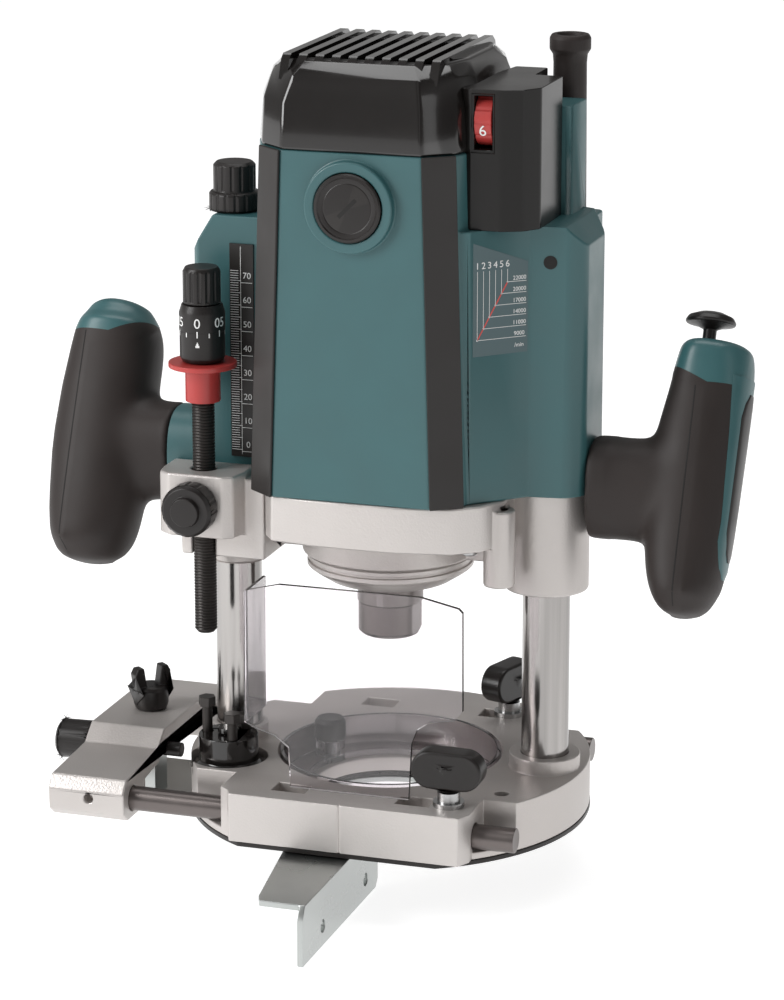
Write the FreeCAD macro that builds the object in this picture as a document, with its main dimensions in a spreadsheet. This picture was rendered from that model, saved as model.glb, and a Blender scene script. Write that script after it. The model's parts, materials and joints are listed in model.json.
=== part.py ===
"""Plunge router: a motor head that slides on two columns over a round base, with a depth stop,
a stop turret and an edge guide on two rods.

Frame: origin on the spindle axis at the underside of the sole, +X to the right along the handles,
+Y from the front to the back, +Z up.  Millimetres.  The head stands at the top of its stroke.
"""

import FreeCAD, Part
import math
import os
import re

import Sketcher
from FreeCAD import Placement, Rotation, Vector

# ---------------------------------------------------------------- driving dimensions

SIZES = {
    # base
    "base_radius": 82.7,
    "base_top": 22.3,
    "base_front": 72.0,
    "sole_thick": 2.0,
    "opening_radius": 31.0,
    "recess_radius": 46.5,
    "recess_floor": 8.0,
    "column_offset": 66.1,
    "column_radius": 9.65,
    "column_bore": 7.3,
    "column_top": 160.0,
    "column_plug": 12.0,
    "collar_top": 28.5,
    "rod_offset": 58.0,
    "rod_height": 10.5,
    "rod_radius": 5.0,
    "rod_right": 70.9,
    "rod_left": 118.0,
    "rod_gap": 0.35,
    "fit_gap": 0.07,
    "free_gap": 0.35,
    # chip shield and dust ring
    "shield_front": 57.5,
    "shield_thick": 2.0,
    # turret and stopper pole
    "turret_x": 61.0,
    "turret_y": 28.0,
    "turret_seat": 15.5,
    "turret_radius": 14.9,
    "turret_top": 32.0,
    "bolt_circle": 9.2,
    "pole_x": 70.2,
    "pole_y": 28.0,
    "pole_radius": 4.65,
    "pole_foot": 75.0,
    "pole_head": 223.0,
    # bracket and spindle
    "bracket_foot": 98.5,
    "bracket_top": 141.0,
    "deck_foot": 122.0,
    "plate_foot": 91.0,
    "plate_top": 109.0,
    "plate_radius": 34.0,
    "nut_radius": 13.15,
    "nut_foot": 73.6,
    "nose_radius": 10.5,
    "collet_radius": 6.0,
    "shaft_radius": 8.5,
    # motor
    "housing_top": 280.0,
    "cover_top": 313.5,
    "brush_height": 259.3,
    "panel_front": 51.5,
    "wing_left_top": 245.0,
    "wing_right_top": 250.0,
    "wheel_x": 48.5,
    "wheel_z": 292.0,
    "guard_x": 62.3,
    "guard_y": 40.0,
    # handles
    "grip_x": 125.5,
    "grip_z": 147.0,
    "grip_tilt": 23.5,
    "grip_half": 56.0,
    "neck_z": 142.0,
    # edge guide
    "holder_left": 124.5,
    "holder_right": 91.5,
    "holder_top": 28.5,
    "fence_face": 5.0,
    "fence_thick": 2.5,
    "fence_drop": 25.5,
    "fence_length": 125.0,
    "arm_top": 1.0,
    "screw_y": 18.0,
    "screw_z": 18.6,
}

TURNS = {
    "Z": Rotation(),
    "-Z": Rotation(Vector(1, 0, 0), 180),
    "X": Rotation(Vector(0, 1, 0), 90),
    "-X": Rotation(Vector(0, 1, 0), -90),
    "Y": Rotation(Vector(1, 0, 0), -90),
    "-Y": Rotation(Vector(1, 0, 0), 90),
}
PLANES = {
    "XY": Rotation(),
    "XZ": Rotation(Vector(1, 0, 0), 90),
    "YZ": Rotation(Vector(1, 1, 1), 120),
}
ORIGIN_POINT, H_AXIS, V_AXIS = -1, -1, -2

doc = FreeCAD.newDocument("plunge_router")
sheet = doc.addObject("Spreadsheet::Sheet", "dims")
for row, (alias, number) in enumerate(SIZES.items(), start=1):
    sheet.set(f"A{row}", alias)
    sheet.set(f"B{row}", str(number))
    sheet.setAlias(f"B{row}", alias)
doc.recompute()

SUBPARTS = {}

# ---------------------------------------------------------------- modelling helpers


def linked(text):
    """An expression with each spreadsheet name written in full."""
    return re.sub(r"[a-z_]+", lambda word: "dims." + word[0] if word[0] in SIZES else word[0], str(text))


def bind(thing, prop, text):
    thing.setExpression(prop, linked(text))


def set_place(thing, at, turn=None):
    """Stand a thing at three expressions, turned by a Rotation."""
    thing.Placement = Placement(Vector(), turn or Rotation())
    for axis, text in zip("xyz", at):
        bind(thing, f"Placement.Base.{axis}", text)
    return thing


def rod(radius, length, at=(0, 0, 0), axis="Z"):
    thing = doc.addObject("Part::Cylinder", "rod")
    bind(thing, "Radius", radius)
    bind(thing, "Height", length)
    return set_place(thing, at, TURNS[axis])


def cone(low_radius, high_radius, length, at=(0, 0, 0), axis="Z"):
    thing = doc.addObject("Part::Cone", "cone")
    bind(thing, "Radius1", low_radius)
    bind(thing, "Radius2", high_radius)
    bind(thing, "Height", length)
    return set_place(thing, at, TURNS[axis])


def block(x_low, x_high, y_low, y_high, z_low, z_high):
    """A box between two corners."""
    thing = doc.addObject("Part::Box", "block")
    bind(thing, "Length", f"({x_high}) - ({x_low})")
    bind(thing, "Width", f"({y_high}) - ({y_low})")
    bind(thing, "Height", f"({z_high}) - ({z_low})")
    return set_place(thing, (x_low, y_low, z_low))


def several(kind, things):
    if len(things) == 1:
        return things[0]
    whole = doc.addObject(kind, "whole")
    if kind == "Part::Compound":
        whole.Links = list(things)
    else:
        whole.Shapes = list(things)
    return whole


def union(*things):
    return several("Part::MultiFuse", things)


def group(*things):
    return several("Part::Compound", things)


def minus(base, *tools):
    thing = doc.addObject("Part::Cut", "cut")
    thing.Base = base
    thing.Tool = union(*tools)
    return thing


def tube(outer, inner, length, at=(0, 0, 0), axis="Z"):
    return minus(rod(outer, length, at, axis), rod(inner, length, at, axis))


def mirrored(source, normal):
    thing = doc.addObject("Part::Mirroring", "mirror")
    thing.Source = source
    thing.Normal = normal
    return thing


def copy_at(source, at, turn=None):
    """The same shape again at another place."""
    thing = doc.addObject("Part::Compound", "copy")
    thing.Links = [source]
    return set_place(thing, at, turn)


def outline_sketch(body, name, points, role="XY_Plane", lift="0"):
    """A closed sketch whose corners are expressions, each corner tied to the body's origin."""
    plane = next(f for f in body.Origin.OriginFeatures if f.Role == role)
    sketch = body.newObject("Sketcher::SketchObject", name)
    sketch.AttachmentSupport = (plane, [""])
    sketch.MapMode = "FlatFace"
    bind(sketch, "AttachmentOffset.Base.z", lift)
    corners = [(first_guess(x), first_guess(y)) for x, y in points]
    count = len(corners)
    for i, (x, y) in enumerate(corners):
        x_next, y_next = corners[(i + 1) % count]
        sketch.addGeometry(Part.LineSegment(Vector(x, y, 0), Vector(x_next, y_next, 0)), False)
    for i in range(count):
        sketch.addConstraint(Sketcher.Constraint("Coincident", i, 2, (i + 1) % count, 1))
    for i, (texts, values) in enumerate(zip(points, corners)):
        for kind, axis, text, number in (
            ("DistanceX", V_AXIS, texts[0], values[0]),
            ("DistanceY", H_AXIS, texts[1], values[1]),
        ):
            if abs(number) < 1e-9:
                sketch.addConstraint(Sketcher.Constraint("PointOnObject", i, 1, axis))
                continue
            tie = Sketcher.Constraint(kind, ORIGIN_POINT, 1, i, 1, number)
            index = sketch.addConstraint(tie)
            if not isinstance(text, (int, float)):
                bind(sketch, f"Constraints[{index}]", text)
    return sketch


def first_guess(text):
    """The number that an expression stands for, so that a sketch starts at its shape."""
    if isinstance(text, (int, float)):
        return float(text)
    sheet.set("D1", "=" + text)
    sheet.recompute()
    return float(sheet.get("D1"))


def slab(points, length, at=(0, 0, 0), plane="XY"):
    """A padded outline.  XY rises along +Z, XZ runs along -Y and YZ runs along +X."""
    body = doc.addObject("PartDesign::Body", "slab")
    pad = body.newObject("PartDesign::Pad", "pad")
    pad.Profile = outline_sketch(body, "outline", points)
    bind(pad, "Length", length)
    body.Tip = pad
    return set_place(body, at, PLANES[plane])


def turned(points, at=(0, 0, 0), axis="Z"):
    """A body of revolution from (radius, height) corners."""
    body = doc.addObject("PartDesign::Body", "turned")
    sketch = outline_sketch(body, "profile", points, "XZ_Plane")
    turn = body.newObject("PartDesign::Revolution", "turn")
    turn.Profile = sketch
    turn.ReferenceAxis = (sketch, ["V_Axis"])
    turn.Angle = 360
    body.Tip = turn
    return set_place(body, at, TURNS[axis])


def lofted(*levels):
    """A body ruled through outlines, each level given as its corners and its height."""
    body = doc.addObject("PartDesign::Body", "lofted")
    sketches = [outline_sketch(body, "level", points, lift=height) for points, height in levels]
    loft = body.newObject("PartDesign::AdditiveLoft", "loft")
    loft.Profile = sketches[0]
    loft.Sections = sketches[1:]
    loft.Ruled = True
    body.Tip = loft
    return body


def around(maker, count, start=0.0):
    """Things made by maker(cosine, sine, angle) at even angles about the axis."""
    things = []
    for i in range(count):
        angle = start + i * 360.0 / count
        things.append(maker(math.cos(math.radians(angle)), math.sin(math.radians(angle)), angle))
    return things


def subpart(name, thing):
    thing.Label = name
    SUBPARTS[name] = thing
    return thing


def both_sides(points):
    """An outline given for y below zero, with its mirror image added."""
    return points + [(x, flip(y)) for x, y in reversed(points)]


def flip(text):
    return -text if isinstance(text, (int, float)) else f"-({text})"


# ---------------------------------------------------------------- base


def front_cut(back):
    """Everything in front of the flat front face."""
    return block("-base_radius - 20", "base_radius + 20", "-base_radius - 20", back, "-5", "base_top + 20")


def make_base_casting():
    disc = rod("base_radius - 0.2", "base_top - sole_thick", (0, 0, "sole_thick"))
    round_base = minus(disc, front_cut("-base_front"))
    front_wall = slab(
        [(-51, -58), (-45, "-base_front"), (51, "-base_front"), (54, -66), (54, -44), (-51, -44)],
        "base_top - sole_thick",
        (0, 0, "sole_thick"),
    )
    collars = [
        rod("14.5", "collar_top - sole_thick", ("column_offset", 0, "sole_thick")),
        rod("12", "collar_top - sole_thick", ("-column_offset", 0, "sole_thick")),
    ]
    solid = union(round_base, front_wall, *collars)
    recess = minus(
        rod("recess_radius", "20", (0, 0, "recess_floor")),
        rod("14.5", "40", ("column_offset", 0, 0)),
        rod("14.5", "40", ("-column_offset", 0, 0)),
    )
    opening = rod("opening_radius", "30")
    seat = rod("turret_radius + 1.2", "20", ("-turret_x", "-turret_y", "turret_seat"))
    bores = []
    for side in ("", "-"):
        y = f"{side}rod_offset"
        rod_start = ("-base_radius - 10", y, "rod_height")
        bores.append(rod("rod_radius + rod_gap", "2 * base_radius + 20", rod_start, "X"))
        bores.append(rod("column_radius", "40", (f"{side}column_offset", 0, "sole_thick + 2")))
        bores.append(rod("2.0", "9", (40, f"{side}40", 1)))
        bores.append(rod("2.0", "9", (-40, f"{side}40", 1)))
    notches = []
    for low, high in (("-90", "-51"), ("54", "90")):
        notches.append(block(low, high, "-90", "-47", "5", "30"))
        notches.append(block(low, high, "47", "90", "5", "30"))
    pockets = []
    for x_low, x_high in ((-30, -16), (22, 36)):
        pockets.append(block(x_low, x_high, "-62.5", "-52.5", "15.5 + 1", "30"))
        pockets.append(block(x_low, x_high, "52.5", "62.5", "15.5 + 1", "30"))
    clamp_bores = [
        rod("2.9", "20", (43, "-rod_offset", "rod_height")),
        rod("2.9", "20", (34, "rod_offset", "rod_height")),
    ]
    turret_bore = rod("2.6", "20", ("-turret_x", "-turret_y", 8))
    screw_hole = rod("2.9", "30", (59, -38, 8))
    mark = slab([(0.6, "-base_front - 1"), (2.4, "-base_front - 1"), (1.5, "-base_front + 0.9")], "30")
    tools = [recess, opening, seat, turret_bore, screw_hole, mark, *bores, *notches, *pockets, *clamp_bores]
    return minus(solid, *tools)


def make_base_sole():
    plate = minus(rod("base_radius", "sole_thick"), front_cut("-base_front + 0.5"))
    holes = [rod("opening_radius", "10", (0, 0, -1))]
    for x in (-40, 40):
        for y in (-40, 40):
            holes.append(cone("4.4", "2.0", "sole_thick + 0.4", (x, y, -0.2)))
    return minus(plate, *holes)


def make_sole_screws():
    screws = []
    for x in (-40, 40):
        for y in (-40, 40):
            screws.append(turned([(0, 0.3), (3.6, 0.3), (2, 1.9), (2, 9), (0, 9)], (x, y, 0)))
    return group(*screws)


def make_guide_columns():
    columns = []
    for side in ("", "-"):
        foot = "sole_thick + 2"
        bar = rod("column_radius", f"column_top - ({foot})", (f"{side}column_offset", 0, foot))
        bore = rod("column_bore", "column_top", (f"{side}column_offset", 0, "column_plug"))
        columns.append(minus(bar, bore))
    return group(*columns)


def make_plunge_springs():
    """Coil springs inside the columns, as sleeves of the coils' inner and outer size."""
    length = "wing_left_top - 4.9 - column_plug"
    feet = [(f"{side}column_offset", 0, "column_plug + 0.2") for side in ("", "-")]
    return group(*[tube("column_bore - 0.4", "column_bore - 2.0", length, at) for at in feet])


def make_threaded_rod():
    shank = rod("3.92", "wing_left_top + 13.0 - column_plug", ("-column_offset", 0, "column_plug"))
    return shank


def make_nylon_nut():
    lower = turned([
        (0, 0.4), (10, 0.4), (10.4, 1), (10.4, 7), (9.6, 8), (8.6, 8), (8.6, 18.6), (7.2, 20), (0, 20),
    ])
    flutes = around(lambda c, s, a: rod("0.9", "7.4", (10.9 * c, 10.9 * s, 0)), 16)
    upper = around(lambda c, s, a: rod("0.8", "12", (9.1 * c, 9.1 * s, 9)), 14)
    nut = minus(lower, rod("3.98", "15.5", (0, 0, -1)), *flutes, *upper)
    return set_place(nut, ("-column_offset", 0, "wing_left_top"))


def make_clamp_springs():
    """Below each rod clamp: a washer and a coil spring."""
    places = ((43, "-rod_offset"), (34, "rod_offset"))
    outline = [(2.9, 0), (6.3, 0), (6.3, 2), (4.6, 2), (4.6, 6), (2.9, 6)]
    return group(*[turned(outline, (x, y, "base_top")) for x, y in places])


def wing_knob(half_width):
    """A clamping screw with a flat oval head, its head's centre 15.4 above the base."""
    head = union(
        rod("7.8", "10", (f"{half_width} - 7.8", 5, 15.4), "-Y"),
        rod("7.8", "10", (f"7.8 - {half_width}", 5, 15.4), "-Y"),
        block(f"7.8 - {half_width}", f"{half_width} - 7.8", "-5", "5", "7.6", "23.2"),
    )
    stem = turned([(0, 0), (2.5, 0), (2.5, 12.8), (3.9, 12.8), (5.9, 24), (0, 24)], (0, 0, "15.9 - base_top"))
    return union(head, stem)


def make_front_rod_clamp():
    return set_place(wing_knob("14.6"), (43, "-rod_offset", "base_top"))


def make_rear_rod_clamp():
    return set_place(wing_knob("14.6"), (34, "rod_offset", "base_top"), Rotation(Vector(0, 0, 1), 72))


def make_chip_shield():
    outline = [
        (-43.2, 48), (-42.8, 103), (-28.2, 106.8), (30.7, 106.9), (46.5, 103.6), (48.1, 102),
        (48.3, 61.5), (45, 57.4), (34.7, 55.7), (29.5, 52), (27.2, 46), (26, "base_top"),
        (-23.8, "base_top"), (-24.6, 39), (-30.4, 43.4), (-38, 45.6),
    ]
    plate = slab(outline, "shield_thick", (0, "-shield_front + shield_thick", 0), "XZ")
    fold = block("-43.4", "-41.9", "-shield_front + shield_thick", "-34", "48", "102.8")
    return union(plate, fold)


def make_dust_ring():
    wall_outline = [(34, 0.1), (45.8, 0.1), (45.8, 15), (44, 15), (44, 3), (34, 3)]
    boss_place = (-33, 20, "recess_floor")
    body = union(turned(wall_outline, (0, 0, "recess_floor")), rod("6", "9", boss_place))
    screw_hole = rod("2.8", "20", (-33, 20, "recess_floor + 2"))
    head_room = rod("7.2", "20", (-33, 20, "recess_floor + 9"))
    return minus(body, screw_hole, head_room)


def make_shield_screw():
    outline = [(0, -6), (2.5, -6), (2.5, 0.4), (6.3, 0.4), (6.6, 2), (6.6, 8), (5.4, 9.6), (0, 9.6)]
    return turned(outline, (-33, 20, "recess_floor + 9"))


def make_stop_turret():
    height = "turret_top - turret_seat"
    outline = [
        (0, 0.3), (14.2, 0.3), ("turret_radius", 1.4), ("turret_radius", 4), (13, 5.4),
        (12.4, 6), (12.2, height), (0, height),
    ]
    drum = turned(outline)
    bolts = around(lambda c, s, a: rod("2.45", "20", (9.2 * c, 9.2 * s, 1.5)), 3, start=180)
    stud_bore = rod("2.9", "30", (0, 0, -1))
    return set_place(minus(drum, stud_bore, *bolts), ("-turret_x", "-turret_y", "turret_seat"))


def make_turret_pin():
    outline = [(0, 0), (2.55, 0), (2.55, 24.5), (4.4, 24.5), (4.4, 26.6), (0, 26.6)]
    return turned(outline, ("-turret_x", "-turret_y", 8))


def stop_bolt(number, head_top):
    """A hex-head stop screw of the turret; number 0 stands under the stopper pole."""
    angle = math.radians(180 + 120 * number)
    corners = [math.radians(a) for a in range(0, 360, 60)]
    hexagon = [(3.7 * math.cos(a), 3.7 * math.sin(a)) for a in corners]
    head = slab(hexagon, "4", (0, 0, f"{head_top} - 4"))
    shank = rod("2.1", f"{head_top} - 4 - turret_seat - 6.5", (0, 0, "turret_seat + 6.5"))
    at = (f"-turret_x + bolt_circle * {math.cos(angle)}", f"-turret_y + bolt_circle * {math.sin(angle)}", 0)
    return set_place(union(head, shank), at)


BASE_PARTS = {
    "base_casting": make_base_casting,
    "base_sole": make_base_sole,
    "sole_screws": make_sole_screws,
    "guide_columns": make_guide_columns,
    "plunge_springs": make_plunge_springs,
    "threaded_rod": make_threaded_rod,
    "nylon_nut": make_nylon_nut,
    "clamp_springs": make_clamp_springs,
    "front_rod_clamp": make_front_rod_clamp,
    "rear_rod_clamp": make_rear_rod_clamp,
    "chip_shield": make_chip_shield,
    "dust_ring": make_dust_ring,
    "shield_screw": make_shield_screw,
    "stop_turret": make_stop_turret,
    "turret_pin": make_turret_pin,
    "stop_bolt_high": lambda: stop_bolt(0, "47"),
    "stop_bolt_middle": lambda: stop_bolt(1, "43.5"),
    "stop_bolt_low": lambda: stop_bolt(2, "38.5"),
}

# ---------------------------------------------------------------- moving head: castings and covers


def make_gear_bracket():
    deck_outline = [
        (-44, -28), (-41.2, -33.5), (-38.5, -43), (-34, -49.5), (-18, -51.8), (0, -52.4), (20, -51.6),
        (40, -47.5), (50, -40), (56, -28), (56, 28), (42, 44), (22, 49), (-22, 49), (-40, 42), (-48, 29),
    ]
    deck = slab(deck_outline, "bracket_top - deck_foot", (0, 0, "deck_foot"))
    neck = rod("36", "deck_foot - plate_top", (0, 0, "plate_top"))
    right_boss = rod("17", "bracket_top - bracket_foot", ("column_offset", 0, "bracket_foot"))
    left_boss = rod("11.8", "20", ("-column_offset", 0, "bracket_foot + 1"))
    left_block = block("-80", "-44", "-29.5", "15", "107.5", "bracket_top")
    ear_outline = [
        (-87, -30), (-86, -37), (-81, -40.5), (-58, -40.5), (-54, -38), (-52, -29), (-52, -17), (-87, -17),
    ]
    ear = slab(ear_outline, "26", (0, 0, "118"))
    ribs = block("-60", "60", "-9", "9", "plate_top", "deck_foot")
    clamp_boss = rod("6.3", "31.5", (54, -27, 105.5))
    solid = union(deck, neck, right_boss, left_boss, left_block, ear, ribs, clamp_boss)
    bush_bores = [
        rod("column_radius + fit_gap + 1", "60", (f"{side}column_offset", 0, "bracket_foot - 5"))
        for side in ("", "-")
    ]
    tools = [
        rod("16.0", "60", (0, 0, "bracket_foot")),
        rod("18.0", "60", (0, 0, "plate_top + 3")),
        rod("41", "40", (0, 0, "deck_foot + 6")),
        rod("pole_radius + free_gap", "60", ("-pole_x", "-pole_y", "100")),
        rod("3.3", "13", ("-pole_x", "-pole_y", 131), "-Y"),
        rod("2.6", "10", (54, -27, 128)),
        rod("5.4", "25", (-20, 33, 131), "Y"),
    ]
    return minus(solid, *bush_bores, *tools)


def make_bearing_plate():
    outline = [
        (14.6, "plate_foot"), (23.7, "plate_foot"), (32.6, "plate_foot + 10.6"),
        ("plate_radius", "plate_foot + 12.6"), ("plate_radius", "plate_top - 1.4"), (32.8, "plate_top"),
        (14.6, "plate_top"),
    ]
    return turned(outline)


def make_column_bushes():
    places = [(f"{side}column_offset", 0, "bracket_foot + 1.2") for side in ("", "-")]
    outer, inner = "column_radius + fit_gap + 1", "column_radius + fit_gap"
    return group(*[tube(outer, inner, "36", at) for at in places])


def drum_outline(half_panel, front, half_side, shrink=0.0):
    """The motor housing's section: a flat front panel, slanted strips and flat sides."""
    quarter = [(half_panel, front), (half_panel + 11, front - 9), (half_side, front - 24)]
    inset = [(x - shrink, y - shrink) for x, y in quarter]
    front_side = [(x, -y) for x, y in inset]
    back_side = [(x, y) for x, y in reversed(inset)]
    left_side = [(-x, y) for x, y in inset] + [(-x, -y) for x, y in reversed(inset)]
    return front_side + back_side + left_side


LOW_DRUM = (32.6, 51.8, 50.0)
HIGH_DRUM = (28.4, 50.4, 45.5)
WING_LEFT = [(-44, -13), (-77.5, -13), (-80, -10.5), (-80, 12), (-76, 17), (-44, 17)]
WING_RIGHT = [(40, -41), (45, -40), (64, -21), (79, -19), (85, -13), (85, 14), (79, 22), (70, 26), (44, 26)]


def make_motor_housing():
    drum = lofted((drum_outline(*LOW_DRUM), "bracket_top"), (drum_outline(*HIGH_DRUM), "housing_top"))
    wing_left = slab(WING_LEFT, "wing_left_top - bracket_top", (0, 0, "bracket_top"))
    wing_right = slab(WING_RIGHT, "wing_right_top - bracket_top", (0, 0, "bracket_top"))
    cord_tower = slab(
        [(58, 8), (72, 8), (74, 30), (74, 52), (58, 52), (46, 44), (46, 8)], "103", (0, 0, "bracket_top")
    )
    tower_rib = slab([(58.5, 6), (72.5, 6), (73.5, 27), (58.5, 27)], "44", (0, 0, "wing_right_top - 1"))
    brush_rings = [
        rod("18", "6", (0, "panel_front - 3.4", "brush_height"), "Y"),
        rod("18", "6", (0, "3.4 - panel_front", "brush_height"), "-Y"),
    ]
    left_shoulder = slab([(-81, 229), (-70.5, 246), (-81, 246)], "40", (0, 20, 0), "XZ")
    right_shoulder = slab([(86, 241), (86, 252), (76, 252)], "60", (0, 40, 0), "XZ")
    wings = minus(union(wing_left, wing_right), left_shoulder, right_shoulder)
    solid = union(drum, wings, cord_tower, tower_rib, *brush_rings)
    cavity = lofted(
        (drum_outline(*LOW_DRUM, shrink=2.6), "bracket_top - 1"),
        (drum_outline(*HIGH_DRUM, shrink=2.6), "housing_top - 3.4"),
    )
    column_wells = [
        rod("11.3", "wing_left_top - 4.2 - bracket_top + 1", (f"{side}column_offset", 0, "bracket_top - 1"))
        for side in ("", "-")
    ]
    tools = [
        rod("4.6", "20", ("-column_offset", 0, "wing_left_top - 10")),
        rod("11.0", "120", (0, -60, "brush_height"), "Y"),
        rod("13.8", "6", (0, "panel_front", "brush_height"), "Y"),
        rod("13.8", "6", (0, "-panel_front", "brush_height"), "-Y"),
        rod("4.6", "90", ("guard_x", "guard_y", "180")),
        rod("8.0", "12", ("guard_x", "guard_y", "wing_right_top - 14")),
        rod("11.0", "11", (0, 0, "housing_top - 14")),
        rod("38", "80", (0, 0, "175")),
    ]
    bearing_seat = rod("13.5", "13", (0, 0, "housing_top - 13"))
    stator_ribs = [
        block("-46.6", "46.6", "-2", "2", "185", "228"),
        block("-2", "2", "-49.4", "49.4", "185", "228"),
    ]
    shell = minus(solid, cavity, *column_wells)
    return minus(union(shell, bearing_seat, *stator_ribs), *tools)


def make_side_trims():
    """Dark strips on the four slanted faces beside the front and back panels."""
    def strip_outline(half_panel, front, half_side):
        return [
            (half_panel, -front), (half_panel + 11, 9 - front),
            (half_panel + 11.9, 8 - front), (half_panel + 0.7, -front - 1.1),
        ]

    right = lofted((strip_outline(*LOW_DRUM), "bracket_top"), (strip_outline(*HIGH_DRUM), "housing_top"))
    strips = [right, mirrored(right, Vector(1, 0, 0)), mirrored(right, Vector(0, 1, 0))]
    strips.append(mirrored(strips[1], Vector(0, 1, 0)))
    return group(*strips)


def make_top_cover():
    rim = (28.4, 50.4, 45.5)
    shoulder = (27.8, 49.4, 44.2)
    brow = (25.5, 45.0, 41.5)
    crown = (22.0, 38.5, 37.0)
    outside = lofted(
        (drum_outline(*rim), "housing_top"), (drum_outline(*shoulder), "housing_top + 18"),
        (drum_outline(*brow), "housing_top + 28"), (drum_outline(*crown), "cover_top"),
    )
    inside = lofted(
        (drum_outline(*rim, shrink=2.4), "housing_top - 1"),
        (drum_outline(*shoulder, shrink=2.4), "housing_top + 16.5"),
        (drum_outline(*brow, shrink=2.4), "housing_top + 26"),
        (drum_outline(*crown, shrink=2.4), "cover_top - 2.4"),
    )
    wheel_room = block("wheel_x - 3.8", "wheel_x + 10", "-40", "-13", "housing_top", "housing_top + 24")
    slots = [
        block(x - 1.7, x + 1.7, "-31", "27", "cover_top - 4", "cover_top + 1")
        for x in (-27, -20.3, -13.5, -6.8, 0, 6.8, 13.5, 20.3, 27)
    ]
    return minus(minus(outside, inside), wheel_room, *slots)


DIAL_HOUSING = [
    (46.6, -31), (48.5, -34), (62, -34), (69, -25), (69, 5.6), (57.8, 5.6), (57.8, 24), (46.6, 24),
]


def make_dial_housing():
    body = slab(DIAL_HOUSING, "54.5", (0, 0, "wing_right_top"))
    roof_slope = slab([(-36, 297), (-27, 305), (-36, 305)], "40", (40, 0, 0), "YZ")
    wheel_slot = block("wheel_x - 4", "wheel_x + 3.8", "-40", "-14", "wheel_z - 10.6", "wheel_z + 10.6")
    hollow = block("50.6", "66.5", "-20", "3", "252", "278")
    return minus(body, roof_slope, wheel_slot, hollow)


def make_speed_dial():
    """A toothed thumb wheel on a cross axle."""
    wheel = rod("10.2", "6.8", (-3.4, 0, 0), "X")
    notches = around(lambda c, s, a: rod("0.9", "12", (-6, 10.8 * c, 10.8 * s), "X"), 12)
    return set_place(minus(wheel, *notches), ("wheel_x", -25.5, "wheel_z"))


def make_brush_caps():
    outline = [(0, -6), (11, -6), (11, 0), (13.5, 0), (13.5, 3), (12.6, 3.6), (10.6, 3.6), (10.2, 3), (0, 3)]
    slot = block("-5", "5", "-0.8", "0.8", "2", "5")
    cap = minus(turned(outline), slot)
    front = copy_at(cap, (0, "-panel_front", "brush_height"), TURNS["-Y"])
    back = copy_at(cap, (0, "panel_front", "brush_height"), TURNS["Y"])
    return group(front, back)


def make_brush_holders():
    holder = minus(rod("9.5", "28"), block("-3", "3", "-5", "5", "-1", "30"))
    front = copy_at(holder, (0, -17.5, "brush_height"), TURNS["-Y"])
    back = copy_at(holder, (0, 17.5, "brush_height"), TURNS["Y"])
    return group(front, back)


def make_carbon_brushes():
    brush = block("-3", "3", "-5", "5", "0", "20")
    front = copy_at(brush, (0, -13.5, "brush_height"), TURNS["-Y"])
    back = copy_at(brush, (0, 13.5, "brush_height"), TURNS["Y"])
    return group(front, back)


def make_stator():
    core = tube("38", "24.6", "52", (0, 0, 180))
    windings = [tube("33", "25.6", "7", (0, 0, z)) for z in (173, 232)]
    return union(core, *windings)


def make_controller_board():
    board = block("60.8", "62.4", "-17", "2", "252", "278")
    chip = block("56", "60.8", "-12", "-2", "258", "270")
    return union(board, chip)


def make_scale_plate():
    return block("-63.6", "-53.4", "-13.9", "-13", "146", "234")


def make_cord_guard():
    outline = [
        (3.6, -14), (7.6, -14), (7.6, -5), (7.2, -4), (6.7, 55), (7, 58.5), (8.3, 60.5), (8.3, 65),
        (7.4, 66.5), (5.4, 66.5), (3.6, 62),
    ]
    return turned(outline, ("guard_x", "guard_y", "wing_right_top"))


def make_head_screws():
    """Screws under the deck."""
    places = ((42, -28), (-38, -28), (40, 30), (-38, 30))
    outline = [(0, 0), (2.8, 0), (3.2, 0.5), (3.2, 4.5), (0, 4.5)]
    return group(*[turned(outline, (x, y, "deck_foot - 4.5")) for x, y in places])


HEAD_PARTS = {
    "gear_bracket": make_gear_bracket,
    "bearing_plate": make_bearing_plate,
    "column_bushes": make_column_bushes,
    "motor_housing": make_motor_housing,
    "side_trims": make_side_trims,
    "top_cover": make_top_cover,
    "dial_housing": make_dial_housing,
    "speed_dial": make_speed_dial,
    "brush_caps": make_brush_caps,
    "brush_holders": make_brush_holders,
    "carbon_brushes": make_carbon_brushes,
    "stator": make_stator,
    "controller_board": make_controller_board,
    "scale_plate": make_scale_plate,
    "cord_guard": make_cord_guard,
    "head_screws": make_head_screws,
}

# ---------------------------------------------------------------- handles and their controls

GRIP_LEFT = [
    (0, "-grip_half"), (6, "-grip_half"), (11.5, -51.5), (15.4, -42), (17.8, -33), (19.6, -22), (20.5, -8),
    (20.6, 6), (20.2, 22), (19.4, 36), (17.8, 45.5),
]
GRIP_RIGHT = [
    (0, "-grip_half"), (6, "-grip_half"), (11.0, -51.5), (14.8, -42), (16.8, -33), (18, -22), (18.8, -8),
    (19, 6), (19, 20), (18.6, 34), (17.8, 45.5),
]
CAP_OUTLINE = [(0, 45.5), (17.8, 45.5), (16.4, 51), (13, 54.6), (8.5, "grip_half"), (0, "grip_half")]


def tilted(thing, side, along=0.0):
    """Stand a thing made about a grip's own axis at its place on the router."""
    angle = math.radians(SIZES["grip_tilt"])
    at = (
        f"{side}grip_x",
        f"{along} * {math.sin(angle)}",
        f"grip_z + {along} * {math.cos(angle)}",
    )
    return copy_at(thing, at, Rotation(Vector(1, 0, 0), -SIZES["grip_tilt"]))


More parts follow.
